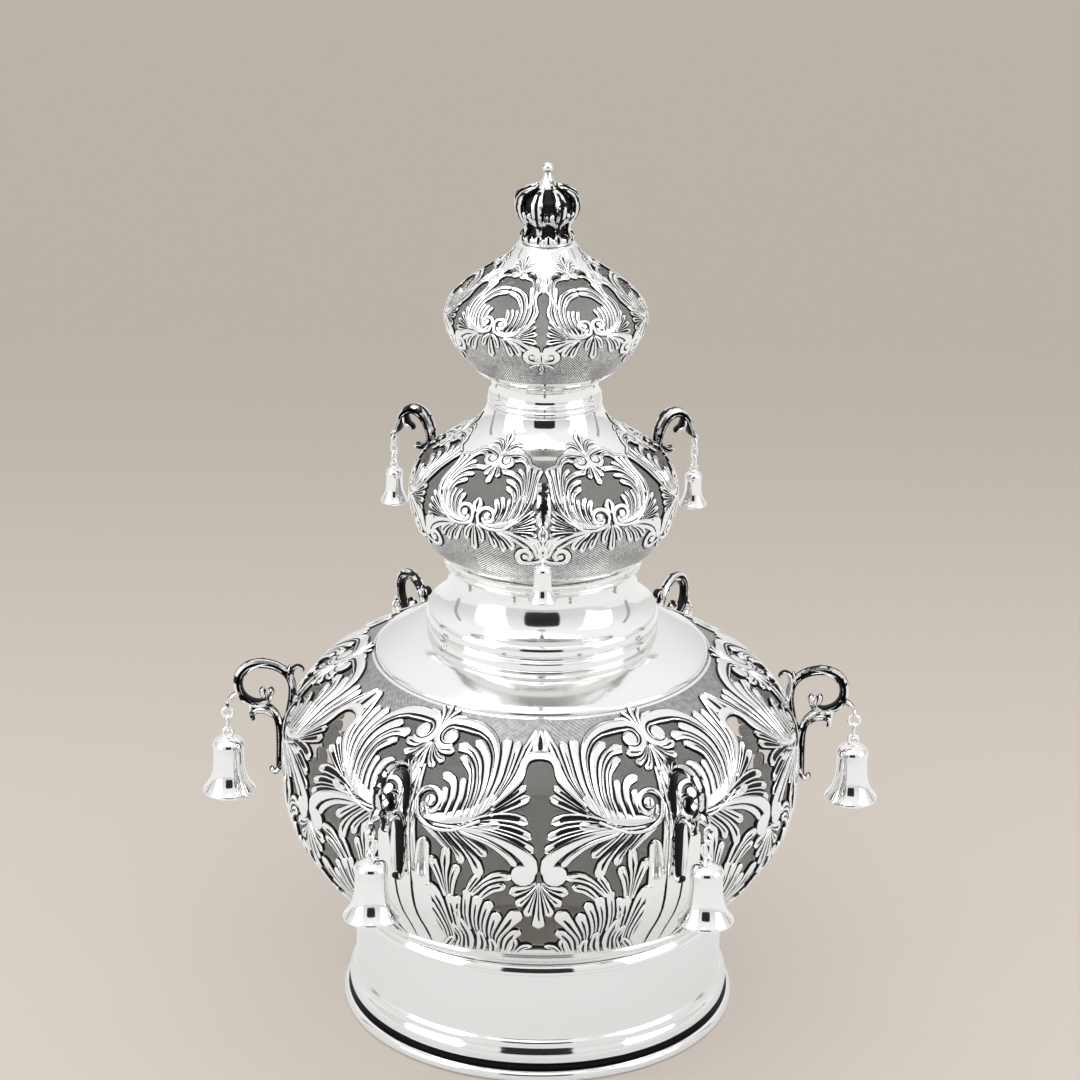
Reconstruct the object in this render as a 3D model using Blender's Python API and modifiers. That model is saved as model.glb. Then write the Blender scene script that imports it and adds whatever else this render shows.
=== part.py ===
"""Torah crown: three pierced silver bulbs on a plain band, with scroll brackets and bells.

Units are metres, +Z is up, and the origin is the centre of the underside of the foot ring.
An azimuth is measured from the front (-Y) towards +X. Runs in Blender 4.5.
"""

import math

import bmesh
import bpy
from mathutils import Matrix, Vector

MM = 0.001

# Driving dimensions: the sheet and the stack of pieces, bottom to top.
GAP = 0.3 * MM  # clear space between pieces that touch
WALL = 1.2 * MM  # silver sheet of the bulbs
BORE_RADIUS = 83.0 * MM  # inside of the band
FOOT_RADIUS = 90.0 * MM
BAND_RADIUS = 84.4 * MM
BAND_TOP = 56.9 * MM
BOWL_FOOT = 58.0 * MM
BOWL_BELLY = 117.3 * MM
BOWL_TOP = 182.4 * MM
SHOULDER_RADIUS = 47.0 * MM
WAIST_BORE = 40.3 * MM
WAIST_TOP = 220.4 * MM
BULB_BELLY = 59.4 * MM
BULB_TOP = 290.4 * MM
NECK_BORE = 21.8 * MM
NECK_TOP = 303.6 * MM
TOP_BELLY = 44.3 * MM
TOP_BULB_TOP = 360.4 * MM
FINIAL_BASE = TOP_BULB_TOP + GAP
FINIAL_BALL = 395.7 * MM  # height of the ball's centre
FINIAL_BALL_RADIUS = 2.1 * MM

# Ribs, panels and facets.
FINIAL_RIBS = 8
RIB_VALLEY = 0.86  # radius between two ribs, as a share of the radius on them
PANELS = 6  # ornament panels round each bulb
BAND_SIDES = 30
BOWL_SIDES = 30
BULB_SIDES = 20
NECK_SIDES = 20
BELL_SIDES = 8
LINK_SIDES = 6
WIRE_SIDES = 3

# Lower tier: six brackets, each with a ring, a link and a bell.
LOWER_AZIMUTHS = (-150, -90, -30, 30, 90, 150)
LOWER_ROD = 1.25 * MM
LOWER_WIRE = 0.5 * MM
LOWER_HANG = 143.2 * MM  # distance of the bells from the axis
LOWER_MOUTH = 101.6 * MM
LOWER_LOOP = 2.1 * MM
LOWER_LINK = (1.7 * MM, 3.5 * MM)  # half width and half height
LOWER_RING = 2.4 * MM
LOWER_EYE = 1.6 * MM

# Middle tier: three smaller brackets, each with three links and a bell.
MIDDLE_AZIMUTHS = (-120, 0, 120)
MIDDLE_ROD = 1.0 * MM
MIDDLE_WIRE = 0.4 * MM
MIDDLE_HANG = 78.4 * MM
MIDDLE_MOUTH = 228.4 * MM
MIDDLE_LOOP = 1.7 * MM
MIDDLE_LINK = (1.5 * MM, 2.8 * MM)
MIDDLE_LINKS = 3
MIDDLE_EYE = 1.5 * MM

BELL_HEIGHT = 29.0 * MM  # a lower bell; a middle bell is a smaller copy
SMALL_BELL = 0.53
BRANCH_ROD = 0.8  # a branch's thickness as a share of the scroll's
BRANCH_SHIFT = 0.15 * MM  # keeps a branch's faces off those of the rod that it leaves
ROD_END = 0.6  # a rod's thickness at its ends as a share of that at its middle

PARTS = "torah_crown"
CUTTERS = "cutters"

# Scrolls of the brackets, as (radius, height) in mm.
LOWER_SCROLL = [
    (123.4, 114.6), (119.8, 115.6), (118.4, 134.5), (114.8, 147.0), (115.4, 160.4),
    (123.2, 167.2), (133.4, 165.8), (138.4, 157.4), (135.2, 148.8), (126.4, 146.2), (123.0, 152.6),
]
LOWER_BRANCH = [(118.0, 136.5), (123.4, 143.9), (131.4, 142.6), (130.6, 138.6)]
LOWER_LUG = (137.0, 151.4)
MIDDLE_SCROLL = [
    (59.2, 256.6), (58.4, 262.8), (60.6, 269.6), (65.6, 273.4), (71.2, 270.8), (74.6, 266.4),
]
MIDDLE_CURL = [(58.4, 262.8), (61.6, 256.2), (65.4, 255.2), (65.8, 252.4)]
MIDDLE_TIP = [(71.2, 270.8), (67.4, 267.6), (65.2, 264.4)]

# Openings of the pierced panels, as (degrees from the mirror line, height in mm).
BOWL_KEYHOLE = [(0, 136), (3.2, 122), (5.6, 104), (0, 99), (-5.6, 104), (-3.2, 122)]
BOWL_CRESCENT = [(9, 142), (20, 143), (25, 127), (10, 130)]
BULB_MEDALLION = [(-11, 242), (-8, 260), (8, 260), (11, 242)]
TOP_MEDALLION = [(-11, 324), (-7, 338), (7, 338), (11, 324)]


def clear_scene():
    """Remove what the start-up file holds and make the two collections."""
    for thing in list(bpy.data.objects):
        bpy.data.objects.remove(thing)
    for name in (PARTS, CUTTERS):
        group = bpy.data.collections.new(name)
        bpy.context.scene.collection.children.link(group)


def polished(name):
    """Bright plain silver."""
    return metal(name, (0.9, 0.9, 0.89), 0.08)


def chased(name):
    """Pierced and chased silver, matte in its grounds."""
    return metal(name, (0.86, 0.86, 0.85), 0.16)


def oxidised(name):
    """Cast silver, blackened in its recesses."""
    return metal(name, (0.6, 0.6, 0.6), 0.3)


def metal(name, colour, roughness):
    """A metal of one colour."""
    material = bpy.data.materials.new(name)
    material.use_nodes = True
    shader = material.node_tree.nodes["Principled BSDF"]
    shader.inputs["Base Color"].default_value = (*colour, 1.0)
    shader.inputs["Metallic"].default_value = 1.0
    shader.inputs["Roughness"].default_value = roughness
    return material


def add_object(name, data, material=None, group=PARTS):
    """Put data in the scene as an object of one collection."""
    thing = bpy.data.objects.new(name, data)
    bpy.data.collections[group].objects.link(thing)
    if material is not None:
        data.materials.append(material)
    if group == CUTTERS:
        thing.hide_render = True
        thing.display_type = "WIRE"
    return thing


def as_mesh(thing):
    """The object's evaluated mesh; the object itself is removed."""
    shown = thing.evaluated_get(bpy.context.evaluated_depsgraph_get())
    mesh = bpy.data.meshes.new_from_object(shown)
    bpy.data.objects.remove(thing)
    return mesh


# Profiles. Every profile is a list of (radius, height) pairs.


def in_mm(points):
    """Millimetre pairs as metres."""
    return [(r * MM, z * MM) for r, z in points]


def smooth(points, steps):
    """Points along a smooth curve through the given ones, steps to each stretch."""
    ends = [points[0]] + list(points) + [points[-1]]
    curve = []
    for i in range(1, len(ends) - 2):
        a, b, c, d = (Vector(p) for p in ends[i - 1:i + 3])
        for k in range(steps):
            t = k / steps
            curve.append(0.5 * (2 * b + (c - a) * t + (2 * a - 5 * b + 4 * c - d) * t * t
                                + (3 * b - a - 3 * c + d) * t ** 3))
    curve.append(Vector(points[-1]))
    return [tuple(p) for p in curve]


def inside(outer, wall):
    """The inner side of a wall, bottom to top, one wall thickness inside the outer side."""
    inner = []
    for i, point in enumerate(outer):
        before = Vector(outer[max(i - 1, 0)])
        after = Vector(outer[min(i + 1, len(outer) - 1)])
        along = (after - before).normalized()
        inner.append((point[0] + wall * along.y, point[1] - wall * along.x))
    return inner[::-1]


def shell_profile(shoulder, side, foot):
    """A sheet wall: straight shoulder, round side and straight foot, and its inner side."""
    outer = shoulder + smooth(side, 2) + foot
    return outer + inside(outer, WALL)


def turned(name, profile, sides, material, closed=True):
    """A body turned about +Z from a profile that runs down its outer side."""
    mesh = bpy.data.meshes.new(name)
    count = len(profile)
    edges = [(i, i + 1) for i in range(count - 1)]
    if closed:
        edges.append((count - 1, 0))
    mesh.from_pydata([(r, 0.0, z) for r, z in profile], edges, [])
    thing = add_object(name, mesh, material)
    screw = thing.modifiers.new("turn", "SCREW")
    screw.steps = sides
    screw.render_steps = sides
    screw.use_merge_vertices = True
    screw.merge_threshold = 0.00001
    screw.use_smooth_shade = True
    return thing


def band_profile():
    """Foot ring, plain band and the mouldings at both ends, round a plain bore."""
    top_bead = [(84.8 * MM, BAND_TOP)] + in_mm([(87.2, 56.0), (84.7, 53.6)])
    foot = [(BAND_RADIUS, 15.6 * MM)] + in_mm([(86.8, 13.4), (86.2, 6.4)])
    foot += [(FOOT_RADIUS, 3.6 * MM), (FOOT_RADIUS - 1.2 * MM, 0.0)]
    return top_bead + foot + [(BORE_RADIUS, 0.0), (BORE_RADIUS, BAND_TOP - 0.1 * MM)]


def bowl_profile():
    """Lower bowl: flat shoulder, round side, and a rolled edge turned in to the band."""
    side = in_mm([(73.8, 173.4), (104.0, 155.6)])
    side += [(BOWL_BELLY, 124.0 * MM)] + in_mm([(112.6, 90.5), (99.5, 71.2)])
    rolled_edge = [(88.0 * MM, 60.2 * MM), (85.6 * MM, BOWL_FOOT)]
    return shell_profile([(SHOULDER_RADIUS, BOWL_TOP)], side, rolled_edge)


def waist_profile():
    """Lower waist: a ring under the bulb, a hollow neck and a stepped skirt."""
    outer = [(41.6 * MM, WAIST_TOP)] + in_mm([
        (44.2, 217.6), (41.8, 210.5), (45.0, 198.5), (50.6, 191.2), (51.9, 188.8),
    ])
    outer.append((49.4 * MM, BOWL_TOP + GAP))
    inner = [(47.2 * MM, BOWL_TOP + GAP), (43.0 * MM, 197.6 * MM)]
    return outer + inner + [(WAIST_BORE, 209.5 * MM), (WAIST_BORE, WAIST_TOP)]


def bulb_profile():
    """Middle bulb: long polished shoulder and round belly."""
    shoulder = [(22.6 * MM, BULB_TOP), (25.6 * MM, 285.6 * MM)]
    side = in_mm([(31.0, 279.0), (50.0, 266.0)]) + [(BULB_BELLY, 247.5 * MM)]
    side += [(55.2 * MM, 232.6 * MM), (43.4 * MM, WAIST_TOP + GAP)]
    return shell_profile(shoulder, side, [])


def neck_profile():
    """Upper waist: a short neck over a bead."""
    outer = [(24.6 * MM, NECK_TOP)] + in_mm([(23.3, 298.8), (24.6, 294.0)])
    outer.append((23.6 * MM, BULB_TOP + GAP))
    return outer + [(NECK_BORE, BULB_TOP + GAP), (NECK_BORE, NECK_TOP)]


def top_bulb_profile():
    """Top bulb: concave polished shoulder and round belly."""
    shoulder = [(11.4 * MM, TOP_BULB_TOP), (13.8 * MM, 357.0 * MM)]
    side = in_mm([(22.0, 351.6), (38.8, 339.8)]) + [(TOP_BELLY, 328.6 * MM)]
    side += [(39.4 * MM, 315.2 * MM), (25.2 * MM, NECK_TOP + GAP)]
    return shell_profile(shoulder, side, [])


def finial_profile():
    """Finial: collar, neck, bulb, cone and ball, top to bottom."""
    ball = []
    for step in range(1, 4):
        turn = math.pi * step / 5
        radius = FINIAL_BALL_RADIUS * math.sin(turn)
        ball.append((radius, FINIAL_BALL + FINIAL_BALL_RADIUS * math.cos(turn)))
    tip = (0.0, FINIAL_BALL + FINIAL_BALL_RADIUS)
    body = in_mm([
        (1.2, 393.4), (4.4, 388.8), (9.6, 387.6), (14.2, 382.6), (13.6, 374.6), (9.4, 367.2),
        (11.0, 364.4),
    ])
    return [tip] + ball + body + [(11.8 * MM, FINIAL_BASE), (0.0, FINIAL_BASE)]


# The pierced bulbs.


def radial_cutter(name, outline, azimuth, inner, outer):
    """A wedge-sided plug through one wall, from the inner radius to the outer one."""
    plug = bmesh.new()
    rings = []
    for radius in (inner, outer):
        ring = []
        for angle, height in outline:
            turn = math.radians(azimuth + angle)
            place = (radius * math.sin(turn), -radius * math.cos(turn), height * MM)
            ring.append(plug.verts.new(place))
        rings.append(plug.faces.new(ring))
    near, far = rings
    for i in range(len(outline)):
        a, b = near.verts[i], near.verts[(i + 1) % len(outline)]
        c, d = far.verts[(i + 1) % len(outline)], far.verts[i]
        plug.faces.new((a, b, c, d))
    bmesh.ops.recalc_face_normals(plug, faces=plug.faces)
    mesh = bpy.data.meshes.new(name)
    plug.to_mesh(mesh)
    plug.free()
    return add_object(name, mesh, group=CUTTERS)


def pierce(body, outline, first_azimuth, inner, outer):
    """Cut one opening through the wall in each panel."""
    for panel in range(PANELS):
        azimuth = first_azimuth + 360 / PANELS * panel
        cut = body.modifiers.new("opening", "BOOLEAN")
        cut.operation = "DIFFERENCE"
        cut.solver = "EXACT"
        cut.object = radial_cutter(f"{body.name}_opening", outline, azimuth, inner, outer)


def make_bulbs():
    """The three pierced bulbs."""
    lower = turned("lower_bowl", bowl_profile(), BOWL_SIDES, chased("chased_silver_bowl"))
    mirrored = [(-angle, height) for angle, height in BOWL_CRESCENT[::-1]]
    for outline in (BOWL_KEYHOLE, BOWL_CRESCENT, mirrored):
        pierce(lower, outline, 0, 0.6 * BOWL_BELLY, 1.1 * BOWL_BELLY)
    middle = turned("middle_bulb", bulb_profile(), BULB_SIDES, chased("chased_silver_bulb"))
    pierce(middle, BULB_MEDALLION, 30, 0.5 * BULB_BELLY, 1.2 * BULB_BELLY)
    top = turned("top_bulb", top_bulb_profile(), BULB_SIDES, chased("chased_silver_top"))
    pierce(top, TOP_MEDALLION, 30, 0.5 * TOP_BELLY, 1.2 * TOP_BELLY)


def make_plain_pieces():
    """The band and the two waists."""
    turned("base_band", band_profile(), BAND_SIDES, polished("polished_silver_band"))
    turned("lower_waist", waist_profile(), NECK_SIDES, polished("polished_silver_waist"))
    turned("upper_waist", neck_profile(), NECK_SIDES, polished("polished_silver_neck"))


def make_finial():
    """Small cast crown: collar, ribbed bulb, cone and ball in one casting."""
    sides = 2 * FINIAL_RIBS
    plain = turned("finial_crown", finial_profile(), sides, None, closed=False)
    mesh = as_mesh(plain)
    for vertex in mesh.vertices:
        radius = math.hypot(vertex.co.x, vertex.co.y)
        if radius < FINIAL_BALL_RADIUS or not 366 * MM < vertex.co.z < 388 * MM:
            continue
        column = round(math.atan2(vertex.co.y, vertex.co.x) / (2 * math.pi) * sides)
        if column % 2:
            vertex.co.x *= RIB_VALLEY
            vertex.co.y *= RIB_VALLEY
    add_object("finial_crown", mesh, oxidised("oxidised_cast_silver"))


# Brackets, links and bells, modelled along +X and then placed round the axis.


def tube(name, points, radius):
    """A closed mesh of a square rod along points, thinner at its ends."""
    curve = bpy.data.curves.new(name, "CURVE")
    curve.dimensions = "3D"
    curve.bevel_depth = radius
    curve.bevel_resolution = 0
    curve.use_fill_caps = True
    spline = curve.splines.new("POLY")
    spline.points.add(len(points) - 1)
    for point, place in zip(spline.points, points):
        point.co = (*place, 1.0)
    spline.points[0].radius = ROD_END
    spline.points[-1].radius = ROD_END
    mesh = as_mesh(add_object(name, curve))
    shape = bmesh.new()
    shape.from_mesh(mesh)
    bmesh.ops.remove_doubles(shape, verts=shape.verts, dist=0.00001)
    bmesh.ops.recalc_face_normals(shape, faces=shape.faces)
    shape.to_mesh(mesh)
    shape.free()
    return mesh


def merged(name, meshes):
    """One mesh from several that run into each other."""
    body = add_object(name, meshes[0])
    tools = []
    for index, mesh in enumerate(meshes[1:]):
        tool = add_object(f"{name}_piece_{index}", mesh, group=CUTTERS)
        tools.append(tool)
        join = body.modifiers.new("join", "BOOLEAN")
        join.operation = "UNION"
        join.solver = "EXACT"
        join.object = tool
    mesh = as_mesh(body)
    for tool in tools:
        bpy.data.objects.remove(tool)
    return mesh


def in_plane(points, aside=0.0):
    """Millimetre (radius, height) pairs as points of a radial plane, or a little aside of it."""
    return [(r * MM, aside, z * MM) for r, z in points]


def ring_mesh(name, centre, half_size, wire, radial):
    """A wire ring or oval link standing on edge, in the radial plane or square to it."""
    bpy.ops.mesh.primitive_torus_add(major_segments=LINK_SIDES, minor_segments=WIRE_SIDES)
    guide = bpy.context.object
    mesh = guide.data
    mesh.name = name
    bpy.data.objects.remove(guide)
    half_width, half_height = half_size
    for index, vertex in enumerate(mesh.vertices):
        along = 2 * math.pi * (index // WIRE_SIDES + 0.5) / LINK_SIDES
        around = 2 * math.pi * (index % WIRE_SIDES) / WIRE_SIDES
        reach = wire * math.cos(around)
        side = (half_width + reach) * math.cos(along)
        up = (half_height + reach) * math.sin(along)
        off = wire * math.sin(around)
        place = (side, -off, up) if radial else (off, side, up)
        vertex.co = Vector(centre) + Vector(place)
    return mesh


def place_round(mesh, name, azimuths, material):
    """A copy of a piece modelled along +X at each azimuth."""
    mesh.materials.clear()
    mesh.materials.append(material)
    for number, azimuth in enumerate(azimuths, start=1):
        thing = add_object(f"{name}_{number}", mesh)
        thing.matrix_world = Matrix.Rotation(math.radians(azimuth - 90), 4, "Z")


def bell_mesh(name, place, mouth_height, scale, loop_radius, wire):
    """A hollow bell with its mouth down and a loop on its crown, and the loop's height."""
    height = BELL_HEIGHT / MM
    outer = [(0.0, height), (7.5, 25.2), (7.5, 13.0), (12.0, 0.8)]
    inner = [(11.0, 0.0), (6.3, 13.4), (5.4, 24.6), (0.0, 26.6)]
    profile = [(r * scale * MM, mouth_height + z * scale * MM) for r, z in outer + inner]
    shell = as_mesh(turned(name, profile, BELL_SIDES, None, closed=False))
    shell.transform(Matrix.Translation((place, 0, 0)))
    loop_height = mouth_height + BELL_HEIGHT * scale + loop_radius - 0.6 * wire
    centre = (place, 0.0, loop_height)
    loop = ring_mesh(f"{name}_loop", centre, (loop_radius, loop_radius), wire, True)
    return merged(name, [shell, loop]), loop_height


def hang(lower_height, lower_half, upper_half, wire):
    """Height of the next link up, hanging with a hair of air between the wires."""
    return lower_height + lower_half + upper_half - 2 * wire - GAP


def make_lower_tier():
    """Six brackets round the bowl, each with a ring, a link and a bell."""
    bright = polished("polished_silver_bells")
    bell, loop_height = bell_mesh("lower_bell", LOWER_HANG, LOWER_MOUTH, 1.0,
                                  LOWER_LOOP, LOWER_WIRE)
    place_round(bell, "lower_bell", LOWER_AZIMUTHS, bright)

    link_height = hang(loop_height, LOWER_LOOP, LOWER_LINK[1], LOWER_WIRE)
    centre = (LOWER_HANG, 0.0, link_height)
    link = ring_mesh("lower_link", centre, LOWER_LINK, LOWER_WIRE, False)
    place_round(link, "lower_link", LOWER_AZIMUTHS, bright)

    ring_height = hang(link_height, LOWER_LINK[1], LOWER_RING, LOWER_WIRE)
    centre = (LOWER_HANG, 0.0, ring_height)
    ring = ring_mesh("lower_ring", centre, (LOWER_RING, LOWER_RING), LOWER_WIRE, True)
    place_round(ring, "lower_ring", LOWER_AZIMUTHS, bright)

    eye_height = hang(ring_height, LOWER_RING, LOWER_EYE, LOWER_WIRE)
    centre = (LOWER_HANG, 0.0, eye_height)
    lug = in_plane([LOWER_LUG]) + [(LOWER_HANG, 0.0, eye_height + LOWER_EYE)]
    rods = [
        tube("lower_scroll", in_plane(LOWER_SCROLL), LOWER_ROD),
        tube("lower_branch", in_plane(LOWER_BRANCH, BRANCH_SHIFT), BRANCH_ROD * LOWER_ROD),
        ring_mesh("lower_eye", centre, (LOWER_EYE, LOWER_EYE), LOWER_WIRE, False),
        tube("lower_lug", lug, LOWER_ROD * ROD_END),
    ]
    dark = oxidised("oxidised_silver_brackets")
    place_round(merged("lower_bracket", rods), "lower_bracket", LOWER_AZIMUTHS, dark)


def make_middle_tier():
    """Three smaller brackets round the middle bulb, each with a chain of links and a bell."""
    bright = polished("polished_silver_small_bells")
    bell, height = bell_mesh("middle_bell", MIDDLE_HANG, MIDDLE_MOUTH, SMALL_BELL,
                             MIDDLE_LOOP, MIDDLE_WIRE)
    place_round(bell, "middle_bell", MIDDLE_AZIMUTHS, bright)

    below = MIDDLE_LOOP
    for number in range(1, MIDDLE_LINKS + 1):
        height = hang(height, below, MIDDLE_LINK[1], MIDDLE_WIRE)
        below = MIDDLE_LINK[1]
        centre = (MIDDLE_HANG, 0.0, height)
        radial = number % 2 == 0
        link = ring_mesh("middle_link", centre, MIDDLE_LINK, MIDDLE_WIRE, radial)
        place_round(link, f"middle_link_{number}", MIDDLE_AZIMUTHS, bright)

    eye_height = hang(height, below, MIDDLE_EYE, MIDDLE_WIRE)
    centre = (MIDDLE_HANG, 0.0, eye_height)
    hook = (MIDDLE_HANG, 0.0, eye_height + MIDDLE_EYE)
    branch = BRANCH_ROD * MIDDLE_ROD
    rods = [
        tube("middle_scroll", in_plane(MIDDLE_SCROLL) + [hook], MIDDLE_ROD),
        tube("middle_curl", in_plane(MIDDLE_CURL, BRANCH_SHIFT), branch),
        tube("middle_tip", in_plane(MIDDLE_TIP, BRANCH_SHIFT), branch),
        ring_mesh("middle_eye", centre, (MIDDLE_EYE, MIDDLE_EYE), MIDDLE_WIRE, True),
    ]
    dark = oxidised("oxidised_silver_small_brackets")
    place_round(merged("middle_bracket", rods), "middle_bracket", MIDDLE_AZIMUTHS, dark)


def main():
    """Build every piece of the crown."""
    clear_scene()
    make_plain_pieces()
    make_bulbs()
    make_finial()
    make_lower_tier()
    make_middle_tier()


main()
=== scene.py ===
"""Torah crown in silver: the shown surfaces, their finishes, the studio and the camera.

Sizes are in millimetres unless a name says otherwise, and become metres when a mesh is made.
+Z is up and the front is -Y. A bearing is measured from the front towards +X.
"""

import logging
import math
from dataclasses import dataclass, field, replace
from enum import Enum
from typing import Callable, Iterable, Sequence

import bpy
import numpy as np
from mathutils import Matrix, Vector

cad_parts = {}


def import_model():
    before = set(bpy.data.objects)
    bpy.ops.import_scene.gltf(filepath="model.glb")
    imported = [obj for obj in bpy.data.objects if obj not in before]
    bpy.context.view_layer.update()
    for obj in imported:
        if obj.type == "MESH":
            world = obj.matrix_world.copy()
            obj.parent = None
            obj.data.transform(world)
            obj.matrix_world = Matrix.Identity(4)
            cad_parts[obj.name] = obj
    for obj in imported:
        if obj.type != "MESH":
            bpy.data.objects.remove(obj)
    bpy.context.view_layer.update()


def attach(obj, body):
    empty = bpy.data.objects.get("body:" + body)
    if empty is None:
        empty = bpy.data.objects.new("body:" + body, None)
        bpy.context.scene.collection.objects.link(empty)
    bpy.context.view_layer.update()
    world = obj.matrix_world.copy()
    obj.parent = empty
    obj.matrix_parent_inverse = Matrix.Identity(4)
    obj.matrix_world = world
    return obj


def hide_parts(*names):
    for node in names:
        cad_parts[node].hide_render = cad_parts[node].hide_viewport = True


LOG = logging.getLogger("torah_crown")
MM = 0.001
BODY = "root"

Point = tuple[float, float]
Place = tuple[float, float, float]
Colour = tuple[float, float, float]
Copy = tuple[int, float]  # 1 or -1 for mirrored, and the shift across the drawing
Surface = Callable[[np.ndarray, np.ndarray, np.ndarray], np.ndarray]

PANELS = 6  # ornament panels round each bulb
HALF = 61.3  # width of half a panel of the drawing, centre line to border
HALF_BEARING = 30.0  # the same in degrees round the axis
LOWER_BEARINGS = (-150, -90, -30, 30, 90, 150)
MIDDLE_BEARINGS = (-120, 0, 120)
POLE = 1e-6  # a ring with a smaller radius is a point on the axis
POLISH, MATTE, INSIDE = 0.0, 1.0, 2.0  # how matte a surface is
SOFT_CREASE, CAST_CREASE, TURNED_CREASE = 38.0, 45.0, 50.0  # sharp edges, in degrees


# Curves and meshes.


def smooth_curve(points: Sequence[Point], steps: int = 12) -> np.ndarray:
    """A smooth curve through points in a plane.

    Args:
        points: the points to pass through.
        steps: places computed for each stretch.

    Returns:
        An array of places, two numbers each.
    """
    given = [np.array(p, float) for p in points]
    ends = [2 * given[0] - given[1]] + given + [2 * given[-1] - given[-2]]
    places = []
    for i in range(1, len(ends) - 2):
        a, b, c, d = ends[i - 1:i + 3]
        for k in range(steps):
            t = k / steps
            places.append(0.5 * (2 * b + (c - a) * t + (2 * a - 5 * b + 4 * c - d) * t * t
                                 + (3 * b - a - 3 * c + d) * t ** 3))
    places.append(given[-1])
    return np.array(places)


def lengths_along(places: np.ndarray) -> np.ndarray:
    """Distance of each place along a curve from its start."""
    gaps = np.hypot(*np.diff(places, axis=0).T)
    return np.concatenate([[0.0], np.cumsum(gaps)])


def curl(x: float, y: float, start: float, end: float, first: float, sweep: float,
         count: int = 9) -> list[Point]:
    """Points of a spiral.

    Args:
        x: across of the spiral's centre.
        y: height of the spiral's centre.
        start: radius at the first point.
        end: radius at the last point.
        first: direction of the first point from the centre, in degrees.
        sweep: turn from the first point to the last, in degrees.
        count: number of points.

    Returns:
        The points in order.
    """
    points = []
    for k in range(count):
        share = k / (count - 1)
        angle = math.radians(first + sweep * share)
        radius = start + (end - start) * share
        points.append((x + radius * math.cos(angle), y + radius * math.sin(angle)))
    return points


def into_scene(name: str, data: bpy.types.ID) -> bpy.types.Object:
    """A new object in the scene.

    Args:
        name: its name.
        data: its mesh, light or camera.

    Returns:
        The object.
    """
    thing = bpy.data.objects.new(name, data)
    bpy.context.scene.collection.objects.link(thing)
    return thing


class Parts:
    """Gathers the solids of one piece, with how dark each point is marked, for engraved lines and
    painted shade, and how matte it is.
    """

    def __init__(self) -> None:
        """Start with no solids."""
        self.places: list[np.ndarray] = []
        self.marks: list[np.ndarray] = []
        self.grounds: list[np.ndarray] = []
        self.faces: list[tuple[int, ...]] = []
        self.count = 0

    def add(self, places: np.ndarray, faces: Iterable[Sequence[int]], marks: np.ndarray,
            grounds: np.ndarray | None = None, flip: bool = False) -> None:
        """Add one solid.

        Args:
            places: its points in millimetres, one row each.
            faces: its faces as point numbers.
            marks: how dark each point is marked, 0 to 1, for engraved lines and painted shade.
            grounds: how matte each point is; if not given, it is polished.
            flip: turn every face round, for a mirrored copy.
        """
        for face in faces:
            order = face[::-1] if flip else face
            self.faces.append(tuple(int(i) + self.count for i in order))
        self.places.append(places)
        self.marks.append(np.broadcast_to(marks, len(places)).astype(float))
        matte = POLISH if grounds is None else grounds
        self.grounds.append(np.broadcast_to(matte, len(places)).astype(float))
        self.count += len(places)

    def build(self, name: str, material: bpy.types.Material, crease: float) -> bpy.types.Object:
        """Make the object.

        Args:
            name: the piece's name.
            material: its finish.
            crease: faces that meet at more than this many degrees meet in a sharp edge.

        Returns:
            The new object, in the scene.
        """
        mesh = bpy.data.meshes.new(name)
        mesh.from_pydata((np.concatenate(self.places) * MM).tolist(), [], self.faces)
        # engraved lines and painted shade share one attribute
        for label, values in (("engraving_and_shade", self.marks), ("ground", self.grounds)):
            layer = mesh.attributes.new(label, "FLOAT", "POINT")
            layer.data.foreach_set("value", np.concatenate(values).astype(np.float32))
        mesh.polygons.foreach_set("use_smooth", [True] * len(mesh.polygons))
        mesh.set_sharp_from_angle(angle=math.radians(crease))
        mesh.materials.append(material)
        mesh.update()
        return into_scene(name, mesh)


def grid_faces(rows: int, columns: int, closed_rows: bool = False,
               closed_columns: bool = False) -> list[tuple[int, int, int, int]]:
    """Faces of a grid of points.

    Args:
        rows: number of rows.
        columns: points in each row.
        closed_rows: join the last row to the first.
        closed_columns: join the last column to the first.

    Returns:
        Four point numbers for each face.
    """
    faces = []
    for i in range(rows if closed_rows else rows - 1):
        below = (i + 1) % rows
        for j in range(columns if closed_columns else columns - 1):
            beside = (j + 1) % columns
            faces.append((i * columns + j, below * columns + j,
                          below * columns + beside, i * columns + beside))
    return faces


@dataclass(frozen=True)
class Ring:
    """One circle of a turned shape."""

    radius: float
    height: float
    mark: float = 0.0  # how engraved it is, 0 to 1
    ground: float = POLISH  # how matte it is


def rings(*rows: Sequence[float]) -> list[Ring]:
    """Rings from rows of radius, height and, if given, engraving and matteness."""
    return [Ring(*row) for row in rows]


def inside(*rows: Point) -> list[Ring]:
    """Rings of an unpolished inside, from rows of radius and height."""
    return [Ring(radius, height, 0.0, INSIDE) for radius, height in rows]


def smooth_rings(points: Sequence[Point], steps: int = 3, mark: float = 0.0) -> list[Ring]:
    """Rings along a smooth profile."""
    return [Ring(max(r, 0.0), z, mark) for r, z in smooth_curve(points, steps)]


def off_profile(places: np.ndarray, length: np.ndarray, lift: np.ndarray,
                scale: float = 1.0) -> tuple[np.ndarray, np.ndarray]:
    """Points that stand off a profile.

    Args:
        places: dense places along the profile.
        length: how far along it each point is.
        lift: how far each stands off it, outwards.
        scale: size here to the size that the lift is given for.

    Returns:
        The radius and the height of each point.
    """
    along = lengths_along(places)
    radius, height = (np.interp(length, along, places[:, k]) for k in (0, 1))
    slope = np.gradient(places, axis=0)
    slope /= np.hypot(*slope.T)[:, None]
    out, up = (np.interp(length, along, part) for part in (slope[:, 1], -slope[:, 0]))
    return radius + out * lift * scale, height + up * lift * scale


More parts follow.
